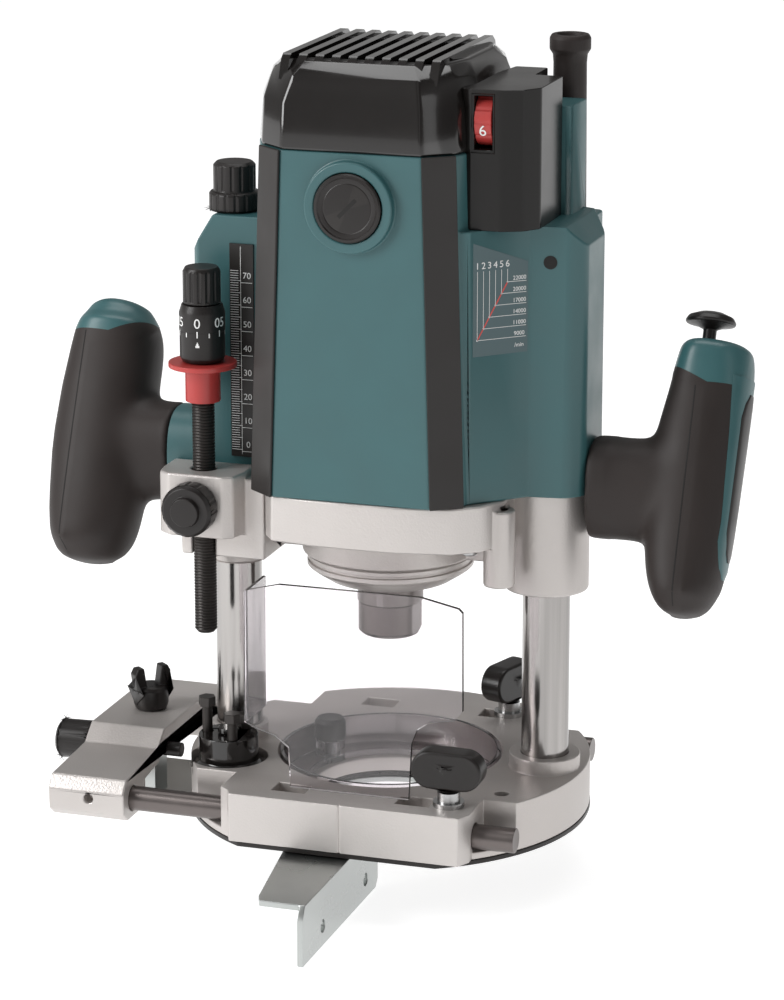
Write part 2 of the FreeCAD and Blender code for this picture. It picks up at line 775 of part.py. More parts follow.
def make_grip(side):
    """A rubber-covered grip and the neck that joins it to the housing."""
    body = turned((GRIP_LEFT if side else GRIP_RIGHT) + [(0, 45.5)])
    if not side:
        trigger_slot = block("8", "30", "-4.6", "4.6", "-34", "38")
        switch_room = block("-12", "8.1", "-9", "9", "-20", "24")
        body = minus(body, trigger_slot, switch_room, rod("3.2", "40", (0, 0, 20)))
        body = union(body, rod("2", "9.6", (15.5, 4.8, 31), "-Y"))
    grip = tilted(body, side)
    neck_core = union(
        rod("16.5", "35", (4.2, 0, 0)),
        rod("16.5", "35", (-4.2, 0, 0)),
        block("-4.2", "4.2", "-16.5", "16.5", "0", "35"),
    )
    if side:
        neck = set_place(neck_core, (-80, 0, "neck_z"), TURNS["-X"])
    else:
        neck = set_place(neck_core, (85, 0, "neck_z"), TURNS["X"])
        room = tilted(block("-12", "8.1", "-9", "9", "-20", "24"), side)
        neck = minus(neck, room)
    return union(grip, neck)


def make_cap(side):
    cap = turned(CAP_OUTLINE)
    if not side:
        cap = minus(cap, rod("3.2", "40", (0, 0, 40)))
    return tilted(cap, side)


def make_trigger():
    outline = [(12, -32), (17, -32), (19.4, -20), (20.4, -4), (20.4, 16), (19.8, 34), (12, 36)]
    lever = slab(outline, "8.4", (0, 4.2, 0), "XZ")
    return tilted(minus(lever, rod("2.05", "12", (15.5, 6, 31), "-Y")), "")


def make_lock_off_button():
    outline = [
        (0, 0), (2.7, 0), (2.7, 36), (6, 37.4), (9.8, 38.2), (10.2, 39.2), (9, 41.2), (5, 42.8), (0, 43.3),
    ]
    return tilted(turned(outline), "", 25.5)


def make_power_switch():
    return tilted(block("-11", "7.6", "-8.4", "8.4", "-20", "21.4"), "")


def make_lock_lever():
    """The plunge lock: a hub behind the right column boss and a flat arm."""
    hub = rod("7", "8.4", ("column_offset", 17.6, 114), "Y")
    arm = slab([(66, 109.5), (66, 118.5), (36, 116.6), (33, 113), (36, 109.8)], "5", (0, 25.5, 0), "XZ")
    return union(hub, arm)


def make_shaft_lock_button():
    outline = [(0, 0), (3, 0), (3, 5), (5, 5), (5, 15), (4.2, 16), (0, 16)]
    return turned(outline, (-20, 39.5, 131), "Y")


HANDLE_PARTS = {
    "grip_left": lambda: make_grip("-"),
    "grip_right": lambda: make_grip(""),
    "grip_cap_left": lambda: make_cap("-"),
    "grip_cap_right": lambda: make_cap(""),
    "trigger": make_trigger,
    "lock_off_button": make_lock_off_button,
    "power_switch": make_power_switch,
    "lock_lever": make_lock_lever,
    "shaft_lock_button": make_shaft_lock_button,
}

# ---------------------------------------------------------------- spindle


def make_armature_shaft():
    outline = [
        (0, 110), (0, 276), (5, 276), (5, 240), (7, 238), (7, 140), ("shaft_radius", 138),
        ("shaft_radius", 111.6), (12.4, 111.6), (12.4, 91.4), (13.2, 91.4), (13.2, 87.8),
        ("nose_radius", 87.8), ("nose_radius", 76.5), (8.3, 76.5), (8.3, 110),
    ]
    return turned(outline)


def make_armature_core():
    outline = [
        (7, 170), (16, 170), (21, 176), (21, 180), (23.9, 180), (23.9, 232), (21, 232), (21, 236),
        (16, 238), (7, 238),
    ]
    slots = around(lambda c, s, a: rod("1.3", "52", (24.2 * c, 24.2 * s, 180)), 12)
    return minus(turned(outline), *slots)


def make_commutator():
    return tube("13", "5", "19.5", (0, 0, 247))


def make_cooling_fan():
    hub = turned([(7, 145), (38, 145), (38, 147), (11, 147), (9, 158), (7, 158)])
    blade = block("10", "36", "-1", "1", "147", "156")
    blades = around(lambda c, s, a: copy_at(blade, (0, 0, 0), Rotation(a, 0, 0)), 9)
    return union(hub, *blades)


def make_collet():
    outline = [("collet_radius", 74.6), (7.6, 74.6), (8.3, 78), (8.3, 108), ("collet_radius", 108)]
    return turned(outline)


def make_collet_nut():
    outline = [
        (8.6, "nut_foot"), (11.4, "nut_foot"), ("nut_radius", "nut_foot + 1.6"), ("nut_radius", 87.4),
        (10.58, 87.4), (10.58, 76.0), (8.6, 76.0),
    ]
    flats = [
        block("11.6", "15", "-15", "15", "60", "95"),
        block("-15", "-11.6", "-15", "15", "60", "95"),
    ]
    return minus(turned(outline), *flats)


def make_spindle_bearings():
    """The two ball bearings as plain rings, held in the bracket and in the housing's crown."""
    lower = tube("18", "shaft_radius + 0.05", "12", (0, 0, "plate_top + 3"))
    upper = tube("11", "5.05", "7", (0, 0, "housing_top - 11"))
    return group(lower, upper)


SPINDLE_PARTS = {
    "armature_shaft": make_armature_shaft,
    "armature_core": make_armature_core,
    "commutator": make_commutator,
    "cooling_fan": make_cooling_fan,
    "collet": make_collet,
    "collet_nut": make_collet_nut,
    "spindle_bearings": make_spindle_bearings,
}

# ---------------------------------------------------------------- depth stop


def make_stopper_pole():
    length = "pole_head - pole_foot"
    outline = [
        (0, 0), (3.6, 0), ("pole_radius", 1.2), ("pole_radius", length), (0, length),
    ]
    return turned(outline, ("-pole_x", "-pole_y", "pole_foot"))


def make_depth_pointer():
    outline = [(4.73, 0), (7.1, 0), (7.1, 13.6), (13.8, 14.2), (13.8, 16.2), (4.73, 16.2)]
    return turned(outline, ("-pole_x", "-pole_y", 172))


def make_depth_dial():
    outline = [
        (4.73, 0), (8.2, 0), (9.1, 2), (9.1, 12.4), (9.25, 12.6), (9.25, 20), (8.2, 23.4), (4.73, 23.4),
    ]
    return turned(outline, ("-pole_x", "-pole_y", 188.6))


def make_depth_knob():
    knob = turned([(0, 0), (7.6, 0), (7.6, 12.8), (6.6, 14.6), (0, 14.6)])
    flutes = around(lambda c, s, a: rod("0.8", "12.6", (8 * c, 8 * s, 1.2)), 14)
    bore = rod("4.73", "12", (0, 0, -1))
    return set_place(minus(knob, bore, *flutes), ("-pole_x", "-pole_y", 212.4))


def make_pole_clamp_knob():
    outline = [
        (0, -7.2), (2.9, -7.2), (2.9, 0.3), (10.5, 0.3), (10.7, 1.4), (10.7, 8), (9.4, 9.4), (6.2, 9.4),
        (5.8, 11.4), (0, 11.6),
    ]
    knob = turned(outline)
    flutes = around(lambda c, s, a: rod("0.9", "7.6", (11.2 * c, 11.2 * s, 0.2)), 16)
    return set_place(minus(knob, *flutes), ("-pole_x", -40.5, 131), TURNS["-Y"])


STOP_PARTS = {
    "stopper_pole": make_stopper_pole,
    "depth_pointer": make_depth_pointer,
    "depth_dial": make_depth_dial,
    "depth_knob": make_depth_knob,
    "pole_clamp_knob": make_pole_clamp_knob,
}

# ---------------------------------------------------------------- edge guide


def make_guide_rods():
    length = "rod_left + rod_right"
    places = [("-rod_left", f"{side}rod_offset", "rod_height") for side in ("", "-")]
    return group(*[rod("rod_radius", length, at, "X") for at in places])


def make_guide_holder():
    half = [
        (0, 2.5), (-64, 2.5), (-68.5, 6), (-69, 15), (-65, 20.2), (-50, 21), (-30, 22), (-22, "holder_top"),
        (0, "holder_top"),
    ]
    other = [(flip(y), z) for y, z in reversed(half[1:-1])]
    body = slab(half + other, "holder_left - holder_right", ("-holder_left", 0, 0), "YZ")
    pocket_outline = [
        (-44, -1), (-44, 14), (-28, 16), (-26, 23), (26, 23), (28, 16), (44, 14), (44, -1),
    ]
    pocket = slab(pocket_outline, "40", (-119.5, 0, 0), "YZ")
    rod_ends = [("-rod_left", f"{side}rod_offset", "rod_height") for side in ("", "-")]
    bores = [rod("rod_radius", "40", at, "X") for at in rod_ends]
    tools = [
        pocket, *bores,
        rod("3.3", "20", (-107, 2, 15)),
        rod("3.4", "20", (-130, "-screw_y", "screw_z"), "X"),
        rod("1.9", "7", (-107, -70, 12), "Y"),
    ]
    return minus(body, *tools)


def make_guide_wing_bolt():
    body = turned([(0, -4.2), (3, -4.2), (3, 0.4), (6.6, 0.4), (7.4, 3), (7.4, 9), (6.2, 10.4), (0, 10.4)])
    ears = [
        slab([(2.6, 8), (7.2, 8), (8.4, 16), (7, 18.6), (4.2, 18.6)], "5", (0, 2.5, 0), "XZ"),
        slab([(-2.6, 8), (-4.2, 18.6), (-7, 18.6), (-8.4, 16), (-7.2, 8)], "5", (0, 2.5, 0), "XZ"),
    ]
    return set_place(union(body, *ears), (-107, 2, "holder_top"), Rotation(Vector(0, 0, 1), 50))


def make_fine_screw():
    outline = [
        (0, -15.5), (6.6, -15.5), (8, -14.2), (8.3, -1), (7.6, -0.3), (3.0, -0.3), (3.0, 39), (0, 39),
    ]
    knob = turned(outline)
    flutes = around(lambda c, s, a: rod("1.0", "12.6", (9 * c, 9 * s, -13.9)), 15)
    return set_place(minus(knob, *flutes), ("-holder_left", "-screw_y", "screw_z"), TURNS["X"])


def make_straight_guide():
    top, bottom = "-arm_top", "-arm_top - fence_thick"
    half = [
        (-115, -24), (-46, -24), (-31, -40), (-24, -64), (-16, "-fence_length + 8"),
        (-14, "-fence_length + 3"), ("fence_face - 1.2", "-fence_length + 3"),
    ]
    plate = slab(both_sides(half), "fence_thick", (0, 0, bottom))
    cut_round = rod("32.5", "40", (0, 0, -30))
    faces = []
    for sign in (1, -1):
        side = [
            (sign * 29, top), (sign * 29, "-fence_drop + 7"), (sign * 35, "-fence_drop"),
            (f"{sign} * fence_length", "-fence_drop"), (f"{sign} * fence_length", -7),
            (f"{sign} * (fence_length - 3)", top),
        ]
        faces.append(slab(side, "fence_thick", ("fence_face - fence_thick", 0, 0), "YZ"))
    holes = [rod("2.6", "10", (0, f"{sign} * {y}", -17.2), "X") for sign in (1, -1) for y in (48, 101)]
    carrier = block("-107", "-95", "-25", "-11", bottom, "22.4")
    screw_bore = rod("3.35", "30", (-115, "-screw_y", "screw_z"), "X")
    return minus(union(plate, carrier, *faces), cut_round, screw_bore, *holes)


GUIDE_PARTS = {
    "guide_rods": make_guide_rods,
    "guide_holder": make_guide_holder,
    "guide_wing_bolt": make_guide_wing_bolt,
    "fine_screw": make_fine_screw,
    "straight_guide": make_straight_guide,
}

# ---------------------------------------------------------------- build, check and export


def build():
    for parts in (BASE_PARTS, HEAD_PARTS, HANDLE_PARTS, SPINDLE_PARTS, STOP_PARTS, GUIDE_PARTS):
        for name, maker in parts.items():
            subpart(name, maker())
    doc.recompute()


def check():
    failed = [thing for thing in doc.Objects if {"Invalid", "Error"} & set(thing.State)]
    for thing in failed:
        users = [user.Label for user in thing.InListRecursive]
        print(f"{thing.Name} ({thing.Label}): {thing.getStatusString()}, used by {users}")
    if failed:
        raise SystemExit("some objects did not compute")
    for name, thing in SUBPARTS.items():
        if thing.Shape.isNull() or not thing.Shape.isValid() or not thing.Shape.Solids:
            raise SystemExit(f"{name} has no valid solid")


def export():
    os.makedirs("parts", exist_ok=True)
    for name, thing in SUBPARTS.items():
        thing.Shape.exportStep(f"parts/{name}.step")
        solids = len(thing.Shape.Solids)
        print(f"{name:22s} {solids:3d} solid(s) {thing.Shape.Volume / 1000:9.2f} cm3")


build()
check()
export()
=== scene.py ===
"""The plunge router's looks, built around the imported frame.

Sizes in the tables are millimetres in the row frame: the origin is on the spindle axis at the
underside of the sole, +X to the right, +Y to the back, +Z up.
"""

import json
import math

import bmesh
import bpy
from mathutils import Matrix, Vector
from mathutils.bvhtree import BVHTree


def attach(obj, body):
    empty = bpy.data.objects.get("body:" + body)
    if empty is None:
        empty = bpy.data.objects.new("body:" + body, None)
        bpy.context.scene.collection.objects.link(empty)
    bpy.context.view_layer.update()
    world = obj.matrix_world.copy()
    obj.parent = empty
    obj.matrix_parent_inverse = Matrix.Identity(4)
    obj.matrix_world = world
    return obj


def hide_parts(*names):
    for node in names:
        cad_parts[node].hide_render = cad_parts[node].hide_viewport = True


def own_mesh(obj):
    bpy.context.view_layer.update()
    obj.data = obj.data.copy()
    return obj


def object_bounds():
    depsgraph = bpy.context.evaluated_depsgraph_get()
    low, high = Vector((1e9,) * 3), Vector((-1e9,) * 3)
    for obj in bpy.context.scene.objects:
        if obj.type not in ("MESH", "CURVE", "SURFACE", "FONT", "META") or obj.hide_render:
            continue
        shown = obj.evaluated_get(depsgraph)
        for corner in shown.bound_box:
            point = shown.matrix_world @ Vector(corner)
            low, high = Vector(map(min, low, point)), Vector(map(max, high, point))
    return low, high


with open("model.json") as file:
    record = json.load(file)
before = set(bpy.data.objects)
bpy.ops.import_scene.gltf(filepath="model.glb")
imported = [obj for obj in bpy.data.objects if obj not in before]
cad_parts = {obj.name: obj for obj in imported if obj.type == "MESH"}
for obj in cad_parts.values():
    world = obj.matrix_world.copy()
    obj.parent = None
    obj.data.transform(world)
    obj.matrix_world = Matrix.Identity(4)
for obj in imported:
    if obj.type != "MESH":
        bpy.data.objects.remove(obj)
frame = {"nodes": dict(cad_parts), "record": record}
cad_low, cad_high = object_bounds()

MM = 0.001
RECORD = frame["record"]
BODY_OF = {n: body for body, nodes in RECORD["behaviour"]["bodies"].items() for n in nodes}
SLOT_OF = {row["node"]: row["material_slot"] for row in RECORD["subparts"]}

# ---------------------------------------------------------------- materials


# where the noise starts and ends its work, and how pointed an edge is before it wears
NOISE_LOW, NOISE_HIGH = 0.3, 0.7
EDGE_LOW, EDGE_HIGH = 0.53, 0.62


def surface(name, colour, rough, metal=0.0, tint=0.12, grain=900.0, bump=0.05, depth=0.0002,
            blotch=40.0, rough_spread=0.08, wear=0.0, wear_colour=(0.8, 0.8, 0.8),
            stretch=(1, 1, 1), **sockets):
    """A procedural finish: uneven tint and gloss, a fine grain, and edges that wear brighter."""
    mat = bpy.data.materials.new(name)
    mat.use_nodes = True
    nodes, links = mat.node_tree.nodes, mat.node_tree.links
    shader = nodes["Principled BSDF"]
    shader.inputs["Metallic"].default_value = metal
    for socket, value in sockets.items():
        shader.inputs[socket.replace("_", " ")].default_value = value
    place = nodes.new("ShaderNodeTexCoord")
    scaled = nodes.new("ShaderNodeMapping")
    scaled.inputs["Scale"].default_value = stretch
    links.new(place.outputs["Object"], scaled.inputs["Vector"])

    def noise(scale, detail):
        node = nodes.new("ShaderNodeTexNoise")
        node.inputs["Scale"].default_value = scale
        node.inputs["Detail"].default_value = detail
        links.new(scaled.outputs["Vector"], node.inputs["Vector"])
        return node.outputs["Fac"]

    coarse = noise(blotch, detail=3.0)
    fine = noise(grain, detail=2.0)
    ramp = nodes.new("ShaderNodeValToRGB")
    ramp.color_ramp.elements[0].position = NOISE_LOW
    ramp.color_ramp.elements[1].position = NOISE_HIGH
    ramp.color_ramp.elements[0].color = [c * (1 - tint) for c in colour] + [1]
    ramp.color_ramp.elements[1].color = [min(1.0, c * (1 + tint)) for c in colour] + [1]
    links.new(coarse, ramp.inputs["Fac"])
    base = ramp.outputs["Color"]
    if wear:
        geometry = nodes.new("ShaderNodeNewGeometry")
        edge = nodes.new("ShaderNodeMapRange")
        edge.inputs["From Min"].default_value = EDGE_LOW
        edge.inputs["From Max"].default_value = EDGE_HIGH
        edge.inputs["To Max"].default_value = wear
        links.new(geometry.outputs["Pointiness"], edge.inputs["Value"])
        mix = nodes.new("ShaderNodeMix")
        mix.data_type = "RGBA"
        links.new(edge.outputs["Result"], mix.inputs["Factor"])
        links.new(base, mix.inputs["A"])
        mix.inputs["B"].default_value = (*wear_colour, 1)
        base = mix.outputs["Result"]
    links.new(base, shader.inputs["Base Color"])
    spread = nodes.new("ShaderNodeMapRange")
    spread.inputs["From Min"].default_value = NOISE_LOW
    spread.inputs["From Max"].default_value = NOISE_HIGH
    spread.inputs["To Min"].default_value = max(0.02, rough - rough_spread)
    spread.inputs["To Max"].default_value = min(1.0, rough + rough_spread)
    links.new(coarse, spread.inputs["Value"])
    links.new(spread.outputs["Result"], shader.inputs["Roughness"])
    height = nodes.new("ShaderNodeBump")
    height.inputs["Strength"].default_value = bump
    height.inputs["Distance"].default_value = depth
    links.new(fine, height.inputs["Height"])
    links.new(height.outputs["Normal"], shader.inputs["Normal"])
    return mat


MATERIALS = {
    "teal": surface("teal_plastic", (0.036, 0.112, 0.120), 0.38, tint=0.05, grain=2600, bump=0.10,
                    depth=0.0001, Coat_Weight=0.10, Coat_Roughness=0.25),
    "rubber": surface("black_rubber", (0.021, 0.0150, 0.0135), 0.56, tint=0.08, grain=3800, bump=0.28,
                      depth=0.0001, rough_spread=0.05, Specular_IOR_Level=0.40),
    "black": surface("black_plastic", (0.013, 0.0105, 0.0098), 0.36, grain=2400, bump=0.10,
                     depth=0.0001, wear=0.2, wear_colour=(0.05, 0.045, 0.04), Specular_IOR_Level=0.40),
    "gloss": surface("black_gloss", (0.010, 0.0084, 0.0078), 0.15, grain=700, bump=0.02,
                     rough_spread=0.04, Coat_Weight=0.5, Coat_Roughness=0.07),
    "cast": surface("cast_aluminium", (0.56, 0.525, 0.505), 0.42, metal=0.60, tint=0.06, grain=1100,
                    bump=0.45, depth=0.00022, blotch=26, wear=0.4, wear_colour=(0.82, 0.80, 0.78)),
    # the steel's colour runs in strong upright light and dark streaks: painted reflection stripes
    "chrome": surface("bright_steel", (0.36, 0.345, 0.335), 0.17, metal=1.0, tint=0.30, grain=500,
                      bump=0.008, blotch=140, rough_spread=0.04, stretch=(1, 1, 0.02)),
    "steel": surface("plain_steel", (0.45, 0.45, 0.45), 0.30, metal=1.0, tint=0.08, grain=900, bump=0.05),
    "nut": surface("dark_steel", (0.135, 0.115, 0.110), 0.34, metal=0.9, tint=0.10, grain=1400,
                   bump=0.08, wear=0.5, wear_colour=(0.40, 0.38, 0.37)),
    "oxide": surface("black_oxide_steel", (0.030, 0.026, 0.024), 0.36, metal=0.5, grain=1800,
                     bump=0.08, wear=0.35, wear_colour=(0.15, 0.14, 0.135)),
    "zinc": surface("zinc_steel", (0.47, 0.49, 0.48), 0.30, metal=0.95, tint=0.07, grain=420,
                    bump=0.01, blotch=30, rough_spread=0.05, wear=0.1, wear_colour=(0.78, 0.80, 0.80)),
    "clear": surface("clear_plastic", (0.90, 0.865, 0.885), 0.03, tint=0.004, grain=300, bump=0.004,
                     rough_spread=0.02, Transmission_Weight=1.0, IOR=1.49),
    "red": surface("red_plastic", (0.44, 0.042, 0.038), 0.36, tint=0.05, grain=2400, bump=0.06,
                   depth=0.0001),
    "deep": surface("black_deep_gloss", (0.007, 0.006, 0.0055), 0.22, grain=900, bump=0.02,
                    rough_spread=0.04, Specular_IOR_Level=0.30),
    "print": surface("white_print", (0.80, 0.80, 0.79), 0.45, tint=0.03, grain=3000, bump=0.02),
    "red_print": surface("red_print", (0.60, 0.07, 0.06), 0.45, tint=0.03, grain=3000, bump=0.02),
    "label": surface("label_film", (0.062, 0.108, 0.118), 0.32, tint=0.03, grain=2000, bump=0.02),
    # near-black for seams, slots and pockets: painted shade where these lie in shadow
    "painted_shade": surface("seam_shadow", (0.008, 0.007, 0.0065), 0.8, tint=0.03, grain=2000, bump=0.02),
    "copper": surface("copper", (0.70, 0.38, 0.22), 0.28, metal=1.0),
    "bronze": surface("bronze", (0.58, 0.44, 0.24), 0.34, metal=1.0),
    "iron": surface("laminated_iron", (0.20, 0.19, 0.18), 0.5, metal=0.7, stretch=(1, 1, 30)),
    "carbon": surface("carbon", (0.02, 0.02, 0.02), 0.6),
    "board": surface("circuit_board", (0.03, 0.13, 0.05), 0.4),
}
MATERIAL_OF_SLOT = {
    "cast_aluminium": "cast", "sole_black": "black", "bright_steel": "chrome", "plain_steel": "steel",
    "dark_steel": "nut", "zinc_steel": "zinc", "clear_plastic": "clear", "black_gloss": "gloss",
    "black_plastic": "black", "black_rubber": "rubber", "black_steel": "oxide", "teal_plastic": "teal",
    "red_plastic": "red", "lamination": "iron", "copper": "copper", "bronze": "bronze", "carbon": "carbon",
    "board": "board",
}

# ---------------------------------------------------------------- mesh helpers


def add(name, mesh, body, mat, slot=None, stands_for=(), sharp=35.0):
    """A finished piece from a mesh in metres; edges over sharp degrees stay sharp."""
    for face in mesh.polygons:
        face.use_smooth = True
    mesh.set_sharp_from_angle(angle=math.radians(sharp))
    piece = bpy.data.objects.new(name, mesh)
    bpy.context.scene.collection.objects.link(piece)
    mesh.materials.append(MATERIALS[mat])
    shade = piece.modifiers.new("even_shading", "WEIGHTED_NORMAL")
    shade.keep_sharp = True
    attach(piece, body)
    if stands_for:
        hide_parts(*stands_for)
        slot = slot or SLOT_OF[stands_for[0]]
    return piece


def mesh_from(bm, name):
    bmesh.ops.recalc_face_normals(bm, faces=bm.faces)
    mesh = bpy.data.meshes.new(name)
    bm.to_mesh(mesh)
    bm.free()
    return mesh


def bevelled(bm, width, angle=30.0, segments=2, where=None):
    """Rounds the edges of a bmesh that turn by more than angle degrees, by width millimetres."""
    edges = []
    for edge in bm.edges:
        turns = len(edge.link_faces) == 2 and edge.calc_face_angle(0) > math.radians(angle)
        if turns and (where is None or where(edge)):
            edges.append(edge)
    bmesh.ops.bevel(bm, geom=edges, offset=width * MM, offset_type="OFFSET", segments=segments,
                    profile=0.5, affect="EDGES", clamp_overlap=False)
    return bm


WELD_DISTANCE = 2e-6
FLAT_ANGLE = math.radians(1.0)


def clean_copy(node):
    """A CAD node's shape again, with each flat face in one piece."""
    bm = bmesh.new()
    bm.from_mesh(frame["nodes"][node].data)
    bmesh.ops.remove_doubles(bm, verts=bm.verts, dist=WELD_DISTANCE)
    bmesh.ops.dissolve_limit(bm, angle_limit=FLAT_ANGLE, verts=bm.verts, edges=bm.edges)
    return bm


# CAD nodes that keep their shape, with the width of their rounded edges
POLISHED = {
    "base_casting": 0.5, "base_sole": 0.3, "guide_columns": 0.0, "nylon_nut": 0.3,
    "front_rod_clamp": 1.2, "rear_rod_clamp": 1.2, "dust_ring": 0.3, "shield_screw": 0.3,
    "stop_turret": 0.3, "turret_pin": 0.3, "stop_bolt_high": 0.3, "stop_bolt_middle": 0.3,
    "stop_bolt_low": 0.3, "gear_bracket": 1.0, "side_trims": 0.4, "top_cover": 1.2,
    "speed_dial": 0.3, "scale_plate": 0.15, "cord_guard": 0.4, "lock_off_button": 0.4,
    "lock_lever": 0.5, "shaft_lock_button": 0.4, "collet_nut": 0.4, "depth_pointer": 0.3,
    "depth_dial": 0.3, "depth_knob": 0.3, "pole_clamp_knob": 0.3, "guide_holder": 0.8,
    "guide_wing_bolt": 0.5, "fine_screw": 0.3, "straight_guide": 0.4, "guide_rods": 0.3,
}
for node, width in POLISHED.items():
    shape = clean_copy(node)
    if width:
        bevelled(shape, width)
    add(f"{node}_body", mesh_from(shape, f"{node}_body"), BODY_OF[node],
        MATERIAL_OF_SLOT[SLOT_OF[node]], stands_for=[node])

# ---------------------------------------------------------------- shapes made here


def prism(outline, low, high, place=Matrix()):
    """A closed solid over an (x, y) outline between two heights, in millimetres, moved by place."""
    bm = bmesh.new()
    rings = [[bm.verts.new(place @ Vector((x, y, z)) * MM) for x, y in outline] for z in (low, high)]
    bm.faces.new(reversed(rings[0]))
    bm.faces.new(rings[1])
    for i in range(len(outline)):
        j = (i + 1) % len(outline)
        bm.faces.new((rings[0][i], rings[0][j], rings[1][j], rings[1][i]))
    return bm


def skin(bm, rings, closed_ends=True):
    """Quads between rings of points that have the same count."""
    verts = [[bm.verts.new(Vector(p) * MM) for p in ring] for ring in rings]
    for lower, upper in zip(verts, verts[1:]):
        for i in range(len(lower)):
            j = (i + 1) % len(lower)
            bm.faces.new((lower[i], lower[j], upper[j], upper[i]))
    if closed_ends:
        bm.faces.new(reversed(verts[0]))
        bm.faces.new(verts[-1])
    return bm


def lathe(profile, place=Matrix(), count=72):
    """A turned solid from (radius, height) corners; place is in millimetres."""
    rings = []
    for radius, height in profile:
        ring = []
        for i in range(count):
            angle = 2 * math.pi * i / count
            ring.append(place @ Vector((radius * math.cos(angle), radius * math.sin(angle), height)))
        rings.append(ring)
    return skin(bmesh.new(), rings)


# a ridge's crest, as shares of the pitch
CREST_FROM, CREST_TO = 0.35, 0.6


def ridges(radius, depth, pitch, low, high):
    """The corners of a screw thread drawn as even ridges."""
    corners = []
    count = int((high - low) / pitch)
    for i in range(count):
        at = low + i * pitch
        corners.append((radius - depth, at))
        corners.append((radius, at + pitch * CREST_FROM))
        corners.append((radius, at + pitch * CREST_TO))
    corners.append((radius - depth, low + count * pitch))
    return corners


def carved(bm, *cutters):
    """A solid with other solids taken out of it."""
    things = []
    for part in (bm, *cutters):
        bmesh.ops.recalc_face_normals(part, faces=part.faces)
        mesh = bpy.data.meshes.new("carving")
        part.to_mesh(mesh)
        part.free()
        thing = bpy.data.objects.new("carving", mesh)
        bpy.context.scene.collection.objects.link(thing)
        things.append(thing)
    for cutter in things[1:]:
        cut = things[0].modifiers.new("cut", "BOOLEAN")
        cut.operation = "DIFFERENCE"
        cut.solver = "EXACT"
        cut.object = cutter
    graph = bpy.context.evaluated_depsgraph_get()
    made = bpy.data.meshes.new_from_object(things[0].evaluated_get(graph))
    for thing in things:
        bpy.data.objects.remove(thing)
    result = bmesh.new()
    result.from_mesh(made)
    bpy.data.meshes.remove(made)
    return result


def read_table(table, at):
    """A value read from (place, value) rows, with a straight line from row to row."""
    if at <= table[0][0]:
        return table[0][1]
    for (low, a), (high, b) in zip(table, table[1:]):
        if at <= high:
            return a + (b - a) * (at - low) / (high - low)
    return table[-1][1]


def remeshed(bm, voxel, name):
    """One closed skin over everything in a bmesh."""
    mesh = bpy.data.meshes.new(name)
    bm.to_mesh(mesh)
    bm.free()
    thing = bpy.data.objects.new(name, mesh)
    bpy.context.scene.collection.objects.link(thing)
    skinning = thing.modifiers.new("skin", "REMESH")
    skinning.mode = "VOXEL"
    skinning.voxel_size = voxel * MM
    graph = bpy.context.evaluated_depsgraph_get()
    made = bpy.data.meshes.new_from_object(thing.evaluated_get(graph))
    bpy.data.objects.remove(thing)
    bpy.data.meshes.remove(mesh)
    result = bmesh.new()
    result.from_mesh(made)
    bpy.data.meshes.remove(made)
    return result


# ---------------------------------------------------------------- grips

GRIP_X, GRIP_Z, GRIP_TILT, NECK_Z = 125.5, 147.0, math.radians(23.5), 142.0
SIGN = {"left": -1, "right": 1}
# half widths at heights along the grip: outer side, then inner side, then its half depth
GRIP_SHAPES = {
    "left": (
        [(-54, 4), (-52.6, 9), (-50, 12.2), (-42, 15.6), (-34, 17.2), (-26, 18.2), (-10, 19.6), (0, 19.8),
         (18, 19), (34, 17.3), (42, 16.2), (48, 14), (53, 11), (55.2, 8), (56, 4)],
        [(-54, 6), (-52.6, 12), (-50, 16), (-42, 19.4), (-34, 20.8), (-26, 21.2), (-10, 21.3),
         (0, 21.2), (18, 21), (34, 21), (42, 19.9), (48, 17), (53, 13), (55.2, 9), (56, 4)],
        19.0,
    ),
    "right": (
        [(-54, 4), (-52.6, 9), (-50, 12), (-42, 15.8), (-34, 17.2), (-26, 17.8), (-10, 18.4), (0, 18.7),
         (18, 19.2), (34, 19.5), (42, 19.7), (48, 19.4), (53, 18.2), (55.2, 15.5), (56, 11)],
        [(-54, 3), (-52.6, 6), (-50, 9), (-42, 13), (-34, 15), (-26, 16), (-10, 16.6), (0, 16.8),
         (18, 16.4), (26, 15.0), (34, 13.4), (42, 12), (48, 11), (53, 9.8), (55.2, 8), (56, 5)],
        17.4,
    ),
}
GRIP_FRAME = Matrix.Rotation(-GRIP_TILT, 4, "X")
# the sections are superellipses; near its ends a grip is shallower as well as narrower
GRIP_POWER, NECK_POWER = 2.3, 2.6
ENDS_FROM, END_DEPTH = 46, 0.25


def grip_point(side, x, y, z):
    """A point given along a grip's own axes, in the row frame.  x is positive on the outer side."""
    return Vector((SIGN[side] * (GRIP_X + x), 0, GRIP_Z)) + (GRIP_FRAME @ Vector((0, y, z)))


def section_reach(angle, half_across, half_up, power):
    """How far a superellipse reaches from its middle at an angle."""
    across, up = abs(math.cos(angle)), abs(math.sin(angle))
    return ((across / half_across) ** power + (up / half_up) ** power) ** (-1 / power)


def grip_radius(side, height, angle):
    """How far a grip's skin is from its axis, at an angle from the outer side to the back."""
    outer, inner, depth = GRIP_SHAPES[side]
    across = read_table(outer if math.cos(angle) > 0 else inner, height)
    if abs(height) > ENDS_FROM:
        share = min(1.0, read_table(outer, height) / read_table(outer, 0))
        depth = depth * (END_DEPTH + (1 - END_DEPTH) * share)
    return section_reach(angle, across, depth, GRIP_POWER)


def grip_ring(side, height, count=64):
    """The skin's points round a grip at a height."""
    points = []
    for i in range(count):
        angle = 2 * math.pi * i / count
        radius = grip_radius(side, height, angle)
        points.append(grip_point(side, radius * math.cos(angle), radius * math.sin(angle), height))
    return points


